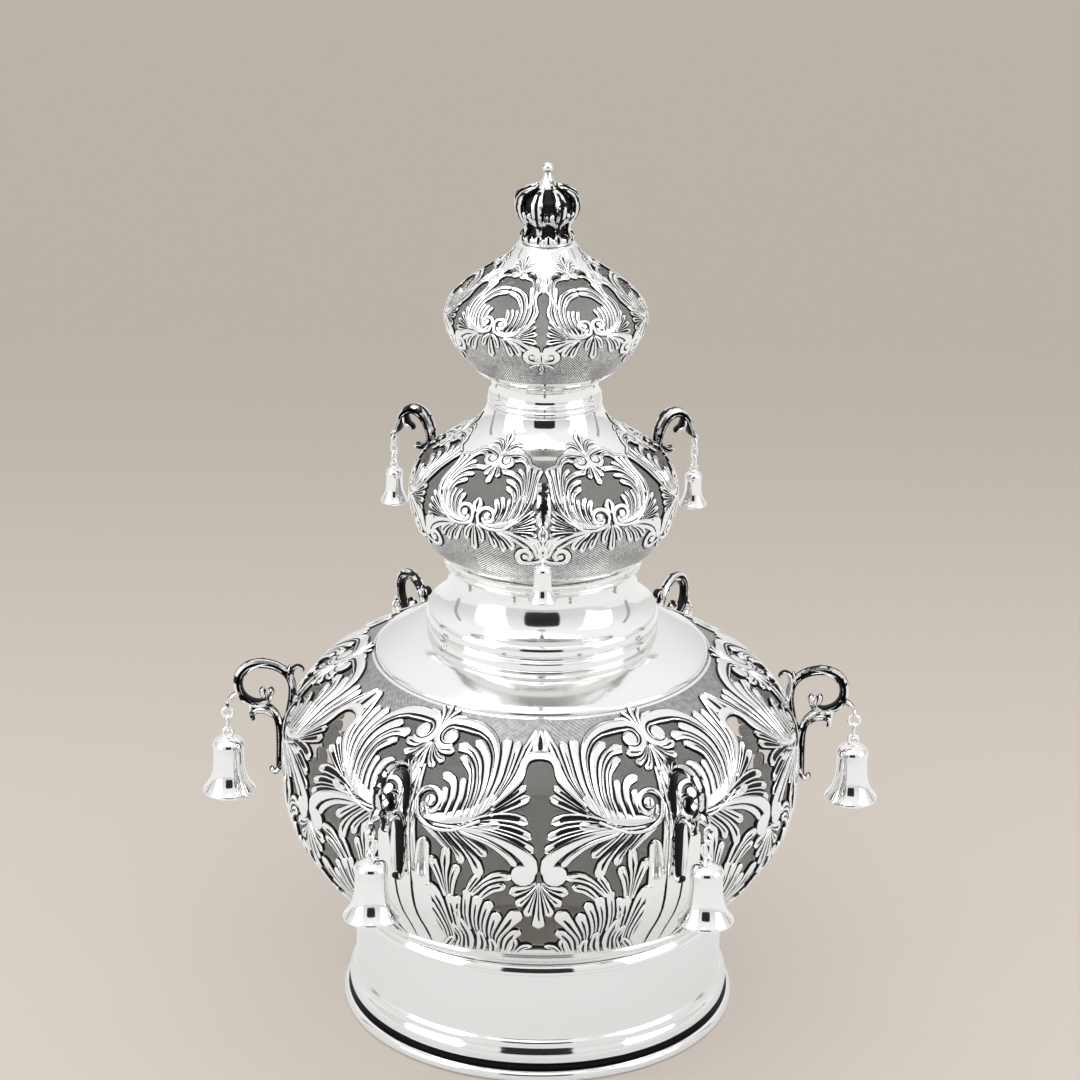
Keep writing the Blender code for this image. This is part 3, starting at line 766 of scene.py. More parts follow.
MIDDLE_ORNAMENT = (
    (
        Stroke([(42, 81), (30, 90), (22, 105), (18, 125), (18, 146)], (9, 15, 8), D, -0.6),
        Stroke([(40, 78), (25, 77), (10, 80)], (7, 12, 12), D, -0.6),
        Stroke([(48, 80), (40, 88), (37, 100)], (8, 12, 8), D, -0.6),
    ),
    (
        Stroke([(47, 80), (42, 88), (41, 98), (45, 105)], (2.6, 5.4, 5.6), V),
        Stroke([(44, 80), (38.5, 88), (36.6, 99), (39.6, 108)], (2.6, 5.4, 5), V),
        Stroke([(41, 80), (34.5, 88), (31.4, 98), (32.2, 107)], (2.6, 5.4, 4.8), V),
        Stroke([(38, 80), (30.5, 90), (27.4, 102), (29.4, 113), (38.4, 119.6)], (2.6, 5, 4.6), V),
        Stroke([(36, 80), (27.5, 90), (24, 103), (25, 116), (31, 124), (41, 127.6)],
               (2.6, 5, 4.8), V),
        Stroke([(34, 80), (25, 90), (21, 104), (21, 119), (26, 131), (36, 138), (51, 140)],
               (2.6, 5.4, 6), V),
        Stroke([(30, 88), (21, 108), (20.6, 124), (24, 138), (31, 146)], (2, 5, 6), V),
        Stroke([(32, 80.4), (22, 91), (17.6, 105), (17, 122), (18, 138), (19, 152)],
               (2.8, 5.4, 6.4), V, 0, outlined=True),
        Stroke([(17, 100), (13.2, 118), (11.6, 134), (10.4, 149)], (2.4, 4.6, 5.6), V),
        Stroke([(30, 81), (17.4, 92), (11, 106), (9.2, 120), (7.2, 134), (2.6, 146)],
               (2.8, 5, 4.4), V, 0, outlined=True),
    ),
    (
        Stroke([(28, 82), (17, 88), (7.2, 96.4)], (2.2, 4.6, 4.4), S),
        Stroke([(28, 80), (17, 84), (6.2, 89)], (2.2, 4.4, 4.6), S),
        Stroke([(29, 78.4), (17, 80), (5.4, 82)], (2.2, 4.4, 4.6), S),
        Stroke([(30, 76.8), (17, 76.4), (5.2, 74.8)], (2.2, 4.4, 4.6), S),
    ),
    (
        Stroke([(42, 76.6), (26, 74.6), (14, 69), (7, 61.4), (3, 53)], (2.4, 6, 6), P, 0.2,
               outlined=True),
        Stroke([(38, 74.6), (25, 70.6), (17, 66), (12, 61.6)], (2, 3.6, 3.6), F, 0.25),
        Stroke([(14, 73.6), (6.6, 70), (2.6, 62), (2.4, 52)], (4, 6, 5), P, 0.1),
    ),
    (
        Stroke([(40, 75), (31, 69), (25, 61)], (3, 6, 6), V),
        Stroke([(44, 75), (37, 68), (33, 58)], (3, 6, 6), V, 0.1),
        Stroke([(48, 74.6), (43, 68), (41, 60)], (3, 6, 6), V),
    ),
    (
        Stroke([(54, 86), (50, 80), (42, 79), (33, 81), (25, 86.6), (20, 93)], (4, 7, 4), P, -0.25),
        Stroke([(25, 84.6), (34, 78.8), (46, 77.2), (56, 79.8)]
               + curl(50, 87.4, 9.4, 4.8, -35, 325, 11), (1.8, 3.4, 3.4), F, 0.4, outlined=True),
        Boss(50, 87.6, 4, 0.3),
    ),
    (
        Stroke([(1.5, 50.5), (7, 47.8)] + curl(15, 54.8, 7.8, 4.2, -80, 330, 10), (3, 4.4, 4), F,
               0.5, outlined=True),
        Boss(15, 54.8, 3.2, 0.9),
        Stroke([(0, 58), (0, 50), (0, 40)], (3, 6, 3), V, 0.4, True, True),
    ),
    (
        Stroke([(60, 79), (55, 72), (53.4, 64)], (3, 6, 4.4), V, 0.15, outlined=True),
        Stroke([(HALF, 80), (HALF, 69), (HALF, 56)], (4, 9, 6), V, 0.35, True, True),
        Stroke([(HALF, 90), (HALF, 97), (HALF, 103.6)], (4, 9, 4), V, 0.3, True, True),
    ),
    (
        Stroke([(57, 147), (50, 143), (45, 136)], (4, 6, 5), V, 0.05),
        Stroke([(59, 146), (55, 138), (53.6, 129)], (4, 6, 5.4), V, 0.1),
        Stroke([(HALF, 150), (HALF, 134), (HALF, 120)], (5, 7.6, 6), V, 0.3, True),
    ),
    (
        Stroke([(20, 149), (25, 157.6), (33, 160.6), (41, 156)], (5, 9, 8), V, 0.05),
        Boss(50, 156, 9.4, -0.15),
    ),
    (
        Stroke([(4, 147), (12, 150), (18.6, 154), (22, 162), (30, 168.6), (42, 169.6)]
               + curl(50, 156, 11, 6, 84, -310, 11), (4, 8.4, 6.6), B, 0.3, outlined=True),
    ),
    (
        Stroke([(58, 168), (48, 176.6), (37, 178), (29, 173)], (3, 5.6, 3), F, 0.2),
        Stroke([(60, 168), (53, 181), (44, 187), (34, 183.6)], (4, 8.4, 4), V, 0.25,
               outlined=True),
        Stroke([(HALF, 164), (HALF, 186), (HALF, 212)], (6, 17, 4), V, 0.35, True, True),
    ),
)
TOP_ORNAMENT = (
    (
        Stroke([(42, 119), (30, 130), (22, 150), (19, 180), (18, 214)], (9, 15, 10), D, -0.6),
        Stroke([(40, 116), (25, 117), (10, 120)], (7, 14, 14), D, -0.6),
        Stroke([(48, 120), (42, 130), (40, 144)], (8, 14, 10), D, -0.6),
        Stroke([(18, 205), (24, 224), (34, 234)], (8, 14, 12), D, -0.6),
        Stroke([(0, 226), (0, 237), (0, 250)], (8, 12, 8), D, -0.2, True),
    ),
    (
        Stroke([(51, 124), (46.6, 133), (46, 145), (49.6, 154)], (3, 5, 5), V),
        Stroke([(47, 122), (41.4, 133), (40, 146), (42.6, 156)], (3, 5, 5), V),
        Stroke([(43, 120), (36.4, 133), (34.2, 146), (35.6, 156)], (3, 5, 5), V),
        Stroke([(39, 118), (32, 130), (29.2, 146), (31, 162), (39, 175.6), (52, 182.4),
                (HALF, 184)], (3, 6, 7), V),
        Stroke([(36, 117.6), (28, 130), (24, 146), (24.4, 164), (32, 182), (46, 192),
                (HALF, 194)], (3, 6.4, 6), V),
        Stroke([(33, 117.4), (23.6, 130), (18.8, 146), (17.6, 164), (19.4, 184), (22.4, 202)],
               (3, 7, 7.4), V, 0, outlined=True),
        Stroke([(30, 117.4), (19.6, 128), (12.8, 142), (9.8, 156), (13.2, 170), (12.4, 184),
                (4, 194)], (3, 7, 5), V, 0, outlined=True),
    ),
    (
        Stroke([(18, 190), (20, 211), (28, 222), (42, 225)], (4, 6, 6), V, 0.1),
        Stroke([(20, 160), (15.4, 182), (12.4, 200), (16, 224)], (4, 8, 9), V),
        Stroke([(6, 194), (7, 212), (6, 232)], (4, 9, 8), V),
    ),
    (
        Stroke([(28, 122), (17.4, 131), (9.8, 142.6)], (2.6, 5, 5), S),
        Stroke([(28, 119.6), (16.4, 126), (7.2, 132.8)], (2.6, 5, 5), S),
        Stroke([(28, 117.4), (15.6, 120.6), (5.4, 123.4)], (2.6, 5, 5), S),
        Stroke([(29, 115.6), (16.4, 115.4), (5.4, 113)], (2.6, 5, 5), S),
    ),
    (
        Stroke([(44, 114.4), (28, 113), (15, 107), (7.4, 99), (4, 88)], (3, 7, 7), P, 0.2,
               outlined=True),
        Stroke([(38, 112), (26, 108), (18.6, 102)], (2, 4, 4), F, 0.25),
        Stroke([(16, 110), (7, 106), (2.6, 98), (2.4, 88)], (4, 6, 5), P, 0.1),
    ),
    (
        Stroke([(40, 113.6), (31, 106), (24.6, 95)], (3.4, 7, 7), V),
        Stroke([(45, 113.6), (38, 105), (34.6, 93)], (3.4, 7, 7), V, 0.1),
    ),
    (
        Stroke([(55, 126), (51, 119.6), (42, 118), (33, 120), (25, 126.6), (20, 133)],
               (4, 7, 4), P, -0.25),
        Stroke([(24, 126), (34, 119.4), (46, 117.6), (57, 121)]
               + curl(51.4, 130.4, 9, 5, -40, 325, 11), (2, 4, 4), F, 0.4, outlined=True),
        Boss(51.4, 130.6, 4.2, 0.3),
    ),
    (
        Stroke([(1.4, 88), (4, 86)] + curl(10.6, 95, 8.8, 5, -100, 330, 10), (3.4, 6, 5.4), F,
               0.5, outlined=True),
        Boss(10.6, 95, 3.8, 0.9),
        Stroke([(2, 84), (8, 79.6), (14, 77)], (3, 5.6, 4), V, 0.3),
        Stroke([(0, 102), (0, 86), (0, 64)], (4, 8, 4), V, 0.4, True, True),
    ),
    (
        Stroke([(60, 117), (54.4, 111), (51.6, 102)], (3, 6.4, 4.8), V, 0.15, outlined=True),
        Stroke([(HALF, 118), (HALF, 104), (HALF, 89)], (4, 9.6, 6.4), V, 0.35, True, True),
    ),
    (
        Boss(49, 231, 11, -0.1),
        Stroke([(5, 204), (11, 215), (15, 231), (24, 244), (36, 247.6)]
               + curl(48.4, 232, 12.6, 6.4, 108, -320, 11), (5, 10, 8), B, 0.3, outlined=True),
    ),
    (
        Stroke([(57, 243), (46, 254), (33, 256), (23, 249)], (4, 7, 4), F, 0.2),
        Stroke([(60, 243), (50, 263), (38, 271), (25, 262)], (6, 13, 6), V, 0.25, outlined=True),
        Stroke([(HALF, 238), (HALF, 272), (HALF, 307)], (8, 26, 7), V, 0.35, True, True),
    ),
)
VOLUTE_EYES = (Boss(52, 113, 4.8, 0.2), Boss(50.2, 81.6, 3.1, 0.3))
LOWER_VOLUTES = (Boss(6.8, 52.4, 6.2, 0.1),)
LOWER_ORNAMENT = (
    LEAF_GROUND, GREAT_LEAF, GREAT_LEAF_SIDE, LEAF_BODY, LOWER_LEAF_ABOVE, LOWER_LEAF,
    LOWER_LEAF_TIPS, VOLUTE_SPRIGS, VOLUTE_PENDANTS, PENDENT_PALMETTE, NEAR_PLANT,
    NEAR_PLANT_HEAD, FAR_PLANT, FAR_PLANT_HEAD, LOW_TUFT, PILASTER_BACK, PILASTER, VOLUTE_EYES,
    LOWER_VOLUTES,
)
HANDED = (1, -1)


def copies_round(single: bool, count: int = PANELS, width: float = 2 * HALF) -> list[Copy]:
    """Each copy of a stroke or knob round the axis; a single one has no mirrored copies."""
    hands = (1,) if single else HANDED
    return [(hand, width * k) for k in range(count) for hand in hands]


def lay_all(parts: Parts, sheet: Sheet, groups: Iterable[Sequence[Stroke | Boss]],
            step: float, rise: float, depth: float, edge: float = EDGE,
            fullness: float = FULLNESS) -> None:
    """Add every stroke and knob of some groups right round a sheet.

    Args:
        parts: where they go.
        sheet: the sheet that they are chased into.
        groups: groups of strokes that grow side by side, or of knobs.
        step: distance between rows of a stroke, in the drawing.
        rise: height of a stroke, in the drawing.
        depth: depth of its underside, in the drawing.
        edge: width of a stroke's sunk margin, in the drawing.
        fullness: how far a stroke swells towards the ones beside it.
    """
    for group in groups:
        for number, item in enumerate(group):
            copies = copies_round(item.single)
            if isinstance(item, Boss):
                lay_boss(parts, item, sheet.place, copies, rise * KNOB_RISE, depth)
                continue
            beside = [smooth_curve(other.spine) for other in group[max(number - 1, 0):number + 2]
                      if isinstance(other, Stroke) and other is not item
                      and item.cut is not Cut.DEEP]
            if item.single:
                across = item.spine[0][0] + item.spine[-1][0]  # twice the mirror line's distance
                beside += [curve * (-1, 1) + (across, 0) for curve in beside]
            elif min(x for x, _ in item.spine) < NEAR_MIRROR:
                beside += [smooth_curve(item.spine) * (-1, 1)]
            if beside and item.cut is not Cut.DEEP:
                item = replace(item, widths=tuple(w * fullness for w in item.widths))
            lay_stroke(parts, item, sheet.place, copies, step, rise, depth, beside, edge=edge)


# Finishes.


class Nodes:
    """Adds and joins nodes of one tree."""

    def __init__(self, tree: bpy.types.NodeTree) -> None:
        """Keep the tree."""
        self.tree = tree

    def add(self, kind: str, inputs: dict[str | int, object] | None = None,
            **settings: object) -> bpy.types.Node:
        """Add a node.

        Args:
            kind: the node's type name.
            inputs: for each input, a value or an output to join to it.
            settings: properties of the node.

        Returns:
            The node.
        """
        node = self.tree.nodes.new(kind)
        for name, value in settings.items():
            setattr(node, name, value)
        for name, value in (inputs or {}).items():
            if isinstance(value, bpy.types.NodeSocket):
                self.tree.links.new(value, node.inputs[name])
            else:
                node.inputs[name].default_value = value
        return node

    def math(self, operation: str, *values: object) -> bpy.types.NodeSocket:
        """The result of a sum, product or other operation."""
        node = self.add("ShaderNodeMath", dict(enumerate(values)), operation=operation)
        return node.outputs[0]

    def band(self, value: object, low: float, high: float, start: float = 0.0,
             end: float = 1.0) -> bpy.types.NodeSocket:
        """A smooth step.

        Args:
            value: what it follows.
            low: the value where it begins.
            high: the value where it ends.
            start: the result below low.
            end: the result above high.

        Returns:
            The result.
        """
        inputs = {"Value": value, "From Min": low, "From Max": high, "To Min": start,
                  "To Max": end}
        node = self.add("ShaderNodeMapRange", inputs, interpolation_type="SMOOTHSTEP")
        return node.outputs["Result"]

    def blend(self, share: object, first: object, second: object) -> bpy.types.NodeSocket:
        """A colour between two."""
        inputs = {0: share, 6: first, 7: second}
        return self.add("ShaderNodeMix", inputs, data_type="RGBA").outputs[2]

    def mix(self, share: object, first: object, second: object) -> bpy.types.NodeSocket:
        """A number between two."""
        return self.add("ShaderNodeMix", {0: share, 2: first, 3: second}).outputs[0]

    def noise(self, where: bpy.types.NodeSocket, scale: object,
              detail: float) -> bpy.types.NodeSocket:
        """Cloudy noise, from 0 to 1."""
        node = self.add("ShaderNodeTexNoise", {"Vector": where, "Scale": scale, "Detail": detail})
        return node.outputs["Fac"]


def new_material(name: str) -> tuple[bpy.types.Material, Nodes, bpy.types.Node]:
    """A new material.

    Args:
        name: its name.

    Returns:
        The material, its nodes and its shader.
    """
    material = bpy.data.materials.new(name)
    material.use_nodes = True
    return material, Nodes(material.node_tree), material.node_tree.nodes["Principled BSDF"]


def new_group(name: str, inputs: dict[str, float], outputs: dict[str, str]) -> Nodes:
    """An empty shader node group with its two end nodes.

    Args:
        name: the group's name.
        inputs: its number inputs and their usual values.
        outputs: its outputs and their socket types.

    Returns:
        The group's nodes.
    """
    tree = bpy.data.node_groups.new(name, "ShaderNodeTree")
    for label, value in inputs.items():
        socket = tree.interface.new_socket(label, in_out="INPUT", socket_type="NodeSocketFloat")
        socket.default_value = value
    for label, kind in outputs.items():
        tree.interface.new_socket(label, in_out="OUTPUT", socket_type=kind)
    return Nodes(tree)


def dark_marks_group() -> bpy.types.NodeTree:
    """Oxidised black in engraved lines, and painted shade along stroke edges, undersides and knob
    rims.

    Returns:
        A group that puts out a mask of where the oxidised lines and the painted shade lie.
    """
    nodes = new_group("dark_lines_and_painted_shade", {"Edge": 0.36, "Softness": 0.08, "Wander": 0.12,
                                         "Stain": 0.0},
                      {"Mask": "NodeSocketFloat"})
    given = nodes.add("NodeGroupInput").outputs
    mark = nodes.add("ShaderNodeAttribute", attribute_name="engraving_and_shade").outputs["Fac"]
    where = nodes.add("ShaderNodeTexCoord").outputs["Object"]
    centred = nodes.math("SUBTRACT", nodes.noise(where, scale=900.0, detail=2.0), 0.5)
    shift = nodes.math("MULTIPLY", centred, given["Wander"])
    blots = nodes.band(nodes.noise(where, scale=260.0, detail=3.0), 0.5, 0.62)
    spots = nodes.math("MULTIPLY", blots, given["Stain"])
    value = nodes.math("ADD", nodes.math("ADD", mark, shift), spots)
    low = nodes.math("SUBTRACT", given["Edge"], given["Softness"])
    high = nodes.math("ADD", given["Edge"], given["Softness"])
    nodes.add("NodeGroupOutput", {"Mask": nodes.band(value, low, high)})
    return nodes.tree


def polish_group() -> bpy.types.NodeTree:
    """Fine polishing marks and handling wear.

    Returns:
        A group that puts out a roughness and a height.
    """
    nodes = new_group("polishing_marks", {"Roughness": 0.12, "Spread": 0.06, "Scale": 60.0},
                      {"Roughness": "NodeSocketFloat", "Height": "NodeSocketFloat"})
    given = nodes.add("NodeGroupInput").outputs
    where = nodes.add("ShaderNodeTexCoord").outputs["Object"]
    stretched = nodes.add("ShaderNodeMapping", {"Vector": where, "Scale": (1.0, 1.0, 14.0)})
    centred = nodes.math("SUBTRACT", nodes.noise(where, scale=given["Scale"], detail=4.0), 0.5)
    rough = nodes.math("MULTIPLY_ADD", centred, given["Spread"], given["Roughness"])
    lines = nodes.noise(stretched.outputs[0], scale=120.0, detail=3.0)
    nodes.add("NodeGroupOutput", {"Roughness": rough, "Height": lines})
    return nodes.tree


HATCH_ACROSS, HATCH_UP = 1.4, 34.0  # how close cut lines stand across, a radian, and up, a metre
HATCH_WANDER = 0.03  # how far a cut line wanders


def matting_group() -> bpy.types.NodeTree:
    """Punched or hatched matte ground, and the unpolished inside.

    Returns:
        A group that puts out where each lies, the two kinds of marks and their height.
    """
    nodes = new_group("punched_ground", {"Scale": 1500.0, "Hatch": 26.0},
                      {"Mask": "NodeSocketFloat", "Inside": "NodeSocketFloat",
                       "Mottle": "NodeSocketFloat", "Hatching": "NodeSocketFloat",
                       "Height": "NodeSocketFloat"})
    given = nodes.add("NodeGroupInput").outputs
    ground = nodes.add("ShaderNodeAttribute", attribute_name="ground").outputs["Fac"]
    where = nodes.add("ShaderNodeTexCoord").outputs["Object"]
    cells = nodes.add("ShaderNodeTexVoronoi", {"Vector": where, "Scale": given["Scale"]})
    split = nodes.add("ShaderNodeSeparateXYZ", {0: where}).outputs
    bearing = nodes.math("ARCTAN2", split["X"], nodes.math("MULTIPLY", split["Y"], -1.0))
    folded = nodes.math("PINGPONG", bearing, math.radians(HALF_BEARING))
    across = nodes.math("MULTIPLY", folded, HATCH_ACROSS)
    slant = nodes.math("MULTIPLY_ADD", split["Z"], HATCH_UP, across)
    wobble = nodes.noise(where, scale=90.0, detail=2.0)
    uneven = nodes.math("MULTIPLY_ADD", wobble, HATCH_WANDER, slant)
    lines = nodes.math("PINGPONG", nodes.math("MULTIPLY", uneven, given["Hatch"]), 0.5)
    burr = nodes.math("MULTIPLY", nodes.noise(where, scale=700.0, detail=3.0), 0.5)
    hatching = nodes.band(nodes.math("ADD", lines, burr), 0.25, 0.75)
    cloud = nodes.add("ShaderNodeTexNoise", {"Vector": where, "Scale": 380.0, "Detail": 5.0,
                                             "Roughness": 0.65})
    nodes.add("NodeGroupOutput", {
        "Mask": nodes.band(ground, 0.4, 0.6), "Inside": nodes.band(ground, 1.4, 1.6),
        "Mottle": nodes.band(cloud.outputs["Fac"], 0.32, 0.68), "Hatching": hatching,
        "Height": nodes.math("ADD", cells.outputs["Distance"], hatching)})
    return nodes.tree


def tinted(brightness: float, tint: Colour) -> tuple[float, float, float, float]:
    """An opaque colour from a brightness and its shares of red, green and blue."""
    return (*(brightness * share for share in tint), 1.0)


@dataclass(frozen=True)
class SilverFinish:
    """One finish of the silver."""

    name: str
    slot: str
    silver: float = 0.88  # brightness of the bare metal
    warmth: float = 0.006  # how far red stands above blue
    roughness: float = 0.075
    spread: float = 0.05  # how far the roughness varies
    scratches: float = 0.03  # strength of the polishing marks
    oxide_and_shade: float = 0.012  # brightness of the dark marks: oxidised engraved lines, and painted shade
    dark_mark_roughness: float = 0.42
    dark_mark_metal: float = 0.9  # how metallic it looks
    ground: float = 0.34  # brightness of a matte ground
    ground_roughness: float = 0.5
    contrast: float = 0.2  # how far its marks stand from its brightness
    ground_depth: float = 0.25  # strength of its marks
    inside: float = 0.93  # brightness of the unpolished inside
    inside_metal: float = 0.1  # how metallic it looks
    wander: float = 0.12  # how uneven the edges of the blackened lines are
    hatch: float = 0.0  # share of cut hatching in a matte ground; the rest is punched
    stain: float = 0.0  # share of black oxide left on open surfaces

    def material(self, groups: dict[str, bpy.types.NodeTree]) -> bpy.types.Material:
        """Make the material.

        Args:
            groups: the shared node groups by name.

        Returns:
            The material.
        """
        material, nodes, shader = new_material(self.name)

        def placed(name: str, **values: float) -> bpy.types.NodeOutputs:
            """A shared group in this material, with its own values."""
            return nodes.add("ShaderNodeGroup", values, node_tree=groups[name]).outputs

        oxide_and_shade = placed("oxide_and_shade", Wander=self.wander, Stain=self.stain)
        polish = placed("polish", Roughness=self.roughness, Spread=self.spread)
        matting = placed("matting")
        bare = (self.silver + self.warmth, self.silver, self.silver - self.warmth, 1.0)
        high, low = self.ground * (1 + self.contrast), self.ground * (1 - self.contrast)
        pale, deep = tinted(high, (1, 0.99, 0.98)), tinted(low, (1, 0.99, 0.97))
        worked = nodes.mix(self.hatch, matting["Mottle"], matting["Hatching"])
        colour = nodes.blend(matting["Mask"], bare, nodes.blend(worked, deep, pale))
        colour = nodes.blend(matting["Inside"], colour, tinted(self.inside, (1.01, 1, 0.98)))
        # the dark marks: oxidised engraved lines, and painted shade along stroke edges, undersides
        # and knob rims
        colour = nodes.blend(oxide_and_shade["Mask"], colour, tinted(self.oxide_and_shade, (1.05, 1, 0.96)))
        rough = nodes.mix(matting["Mask"], polish["Roughness"], self.ground_roughness)
        rough = nodes.mix(oxide_and_shade["Mask"], rough, self.dark_mark_roughness)
        metal = nodes.band(matting["Inside"], 0.0, 1.0, 1.0, self.inside_metal)
        metal = nodes.mix(oxide_and_shade["Mask"], metal, self.dark_mark_metal)
        fine = nodes.add("ShaderNodeBump", {"Strength": self.scratches, "Distance": 0.0002,
                                            "Height": polish["Height"]}).outputs[0]
        punched = nodes.math("MULTIPLY", matting["Height"], matting["Mask"])
        bump = nodes.add("ShaderNodeBump", {"Strength": self.ground_depth, "Distance": 0.0004,
                                            "Height": punched, "Normal": fine}).outputs[0]
        for name, value in (("Base Color", colour), ("Roughness", rough), ("Metallic", metal),
                            ("Normal", bump)):
            material.node_tree.links.new(value, shader.inputs[name])
        return material


POLISHED = SilverFinish("polished_silver_surface", "polished_silver")
CHASED = SilverFinish("chased_silver_surface", "chased_silver", roughness=0.12)
HATCHED = SilverFinish("hatched_silver_surface", "chased_silver", roughness=0.06, ground=0.46,
                       ground_roughness=0.28, contrast=0.75, hatch=0.92)
CAST = SilverFinish("oxidised_silver_surface", "oxidised_silver", silver=0.8, roughness=0.2,
                    spread=0.12, wander=0.4, stain=0.42)
BELL = SilverFinish("bell_silver_surface", "bell_silver", roughness=0.07)


class Silver:
    """The finishes as materials, made once."""

    def __init__(self) -> None:
        """Make the shared groups and a material for each finish."""
        groups = {"oxide_and_shade": dark_marks_group(), "polish": polish_group(), "matting": matting_group()}
        self.materials = {finish: finish.material(groups)
                          for finish in (POLISHED, CHASED, HATCHED, CAST, BELL)}

    def make(self, parts: Parts, name: str, finish: SilverFinish, node: str, crease: float,
             turned: float | None = None) -> None:
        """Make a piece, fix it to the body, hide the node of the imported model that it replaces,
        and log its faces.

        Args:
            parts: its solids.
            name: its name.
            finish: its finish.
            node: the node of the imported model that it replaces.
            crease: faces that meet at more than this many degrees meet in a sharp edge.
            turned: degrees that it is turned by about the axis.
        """
        piece = parts.build(name, self.materials[finish], crease)
        if turned is not None:
            piece.data.transform(Matrix.Rotation(math.radians(turned), 4, "Z"))
        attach(piece, BODY)
        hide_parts(node)
        LOG.info("%s: %d faces", piece.name, len(piece.data.polygons))


# Pieces.


@dataclass
class Turned:
    """A hollow polished piece turned from sheet."""

    name: str
    node: str
    profile: Sequence[Ring]
    segments: int

    def build(self, silver: Silver) -> None:
        """Make the piece and dress it.

        Args:
            silver: the materials.
        """
        parts = Parts()
        turn(parts, self.profile, self.segments)
        silver.make(parts, self.name, POLISHED, self.node, TURNED_CREASE)


def base_band(bore: float = 83.0, foot: float = 90.0, band: float = 84.4,
              top: float = 56.9) -> Turned:
    """Foot ring, plain band and top ridge.

    Args:
        bore: radius inside.
        foot: radius of the foot ring.
        band: radius of the plain band.
        top: height under the ridge's upper edge.

    Returns:
        The piece.
    """
    f, b, t = foot, band, top
    profile = rings((b - 0.2, t + 1.5), (b + 0.2, t + 1.3), (b + 0.3, t + 0.1), (b + 1, t - 0.2),
                    (b + 1.5, t - 0.7), (b + 2.1, t - 1.7), (b + 2.6, t - 2.8),
                    (b + 2.95, t - 3.7), (b + 3, t - 4.3), (b + 2.6, t - 4.8),
                    (b + 1, t - 5.2, 0.2), (b + 0.05, t - 5.4, 0.2), (b, t - 5.8),
                    (b, 40), (b, 28), (b, 19.2), (b + 0.1, 18.7), (b + 0.6, 18.3),
                    (b + 1.1, 17.6), (b + 1.3, 16.8), (b + 1.3, 16), (b + 1.4, 15.3),
                    (b + 2.1, 14.1), (b + 2.65, 12.9), (b + 3, 12), (b + 3.1, 11),
                    (b + 3.1, 9), (b + 2.9, 8.4, 0.3), (b + 2.3, 7.9, 1), (b + 1.9, 6.8, 1),
                    (b + 2.2, 5.5, 1), (f - 2.4, 5.05, 0.8), (f - 1.5, 4.9, 0.1),
                    (f - 0.6, 4.3), (f, 3.2), (f, 1.7), (f - 0.5, 0.6), (f - 1.4, 0.0),
                    (f - 3.5, 0.0))
    profile += inside(*((bore, height) for height in (0.0, 20, 40, t + 1.5)))
    return Turned("silver_band", "base_band", profile, segments=192)


@dataclass
class LowerBowl:
    """The great pierced bulb, with its rolled foot and polished shoulder."""

    sheet: Sheet = field(default_factory=lambda: Sheet(
        [(99, 70), (104.4, 78.5), (111.9, 90), (115.9, 102), (117.2, 120), (116.0, 136),
         (110.6, 146.4), (102.4, 156.2), (93.4, 162), (84.2, 167), (74.2, 173)],
        [(-3, 0), (0, 0)], scale=1.0, brink=130.6))
    segments: int = 192

    def shoulder(self) -> list[Ring]:
        """The polished shoulder and the seat of the waist.

        Returns:
            Rings down the outside and up the inside.
        """
        outer = rings((47.2, 182.4), (49.5, 182.2), (55.8, 181.4), (61.8, 179.7), (67.5, 177),
                      (71.5, 175.2), (73.6, 174.1), (74.6, 173.3), (74.9, 172.5),
                      (75.0, 172.0, 0.36), (76.4, 171.3, 0.2))
        return outer + inside((77, 170.8), (76, 169.8), (71, 173), (60, 178.4), (47.2, 181.2))

    def foot(self) -> list[Ring]:
        """The rolled, polished underside, from the ornament down to the band.

        Returns:
            Rings down the outside and up the inside.
        """
        outer = smooth_rings([(99.6, 71.4), (98.4, 69.2), (94.5, 66), (90.4, 62.6), (88, 59.6)])
        lip = rings((87.6, 58.7), (87.2, 58.1), (86.2, 57.7), (85.4, 57.5, 0.6))
        return outer + lip + inside((85.2, 57.8), (85.6, 59.4), (88.6, 63.4), (93, 67), (97.6, 71.6))

    def build(self, silver: Silver) -> None:
        """Make the piece and dress it.

        Args:
            silver: the materials.
        """
        parts = Parts()
        turn(parts, self.shoulder(), self.segments)
        turn(parts, self.foot(), self.segments)
        place = self.sheet.place
        crest = [(0, 116), (8, 111), (18, 109), (24, 111), (30, 116), (40, 120), (52, 120),
                 (HALF, 115)]
        lay_skirt(parts, place, crest, level(131), (-0.4, -1.5), ground=MATTE, rows=5, step=2.6)
        roots = [(0, 5), (7, 5), (12, 15), (16, 25), (22, 33), (31, 36), (38, 34), (44, 32),
                 (50, 26), (50.5, 60), (57, 62), (58, 88), (HALF, 90)]
        lay_skirt(parts, place, level(-0.5), roots, (-0.5, -1.5), mark=1)
        hem = [(0, 3.4), (10, 2.6), (30, 2.2), (50, 2.6), (HALF, 3.4)]
        lay_skirt(parts, place, level(-1.4), hem, (0.1, -1.4), rows=2)
        lay_all(parts, self.sheet, LOWER_ORNAMENT, step=6, rise=0.6, depth=1.3)
        silver.make(parts, "silver_bowl", CHASED, "lower_bowl", SOFT_CREASE)


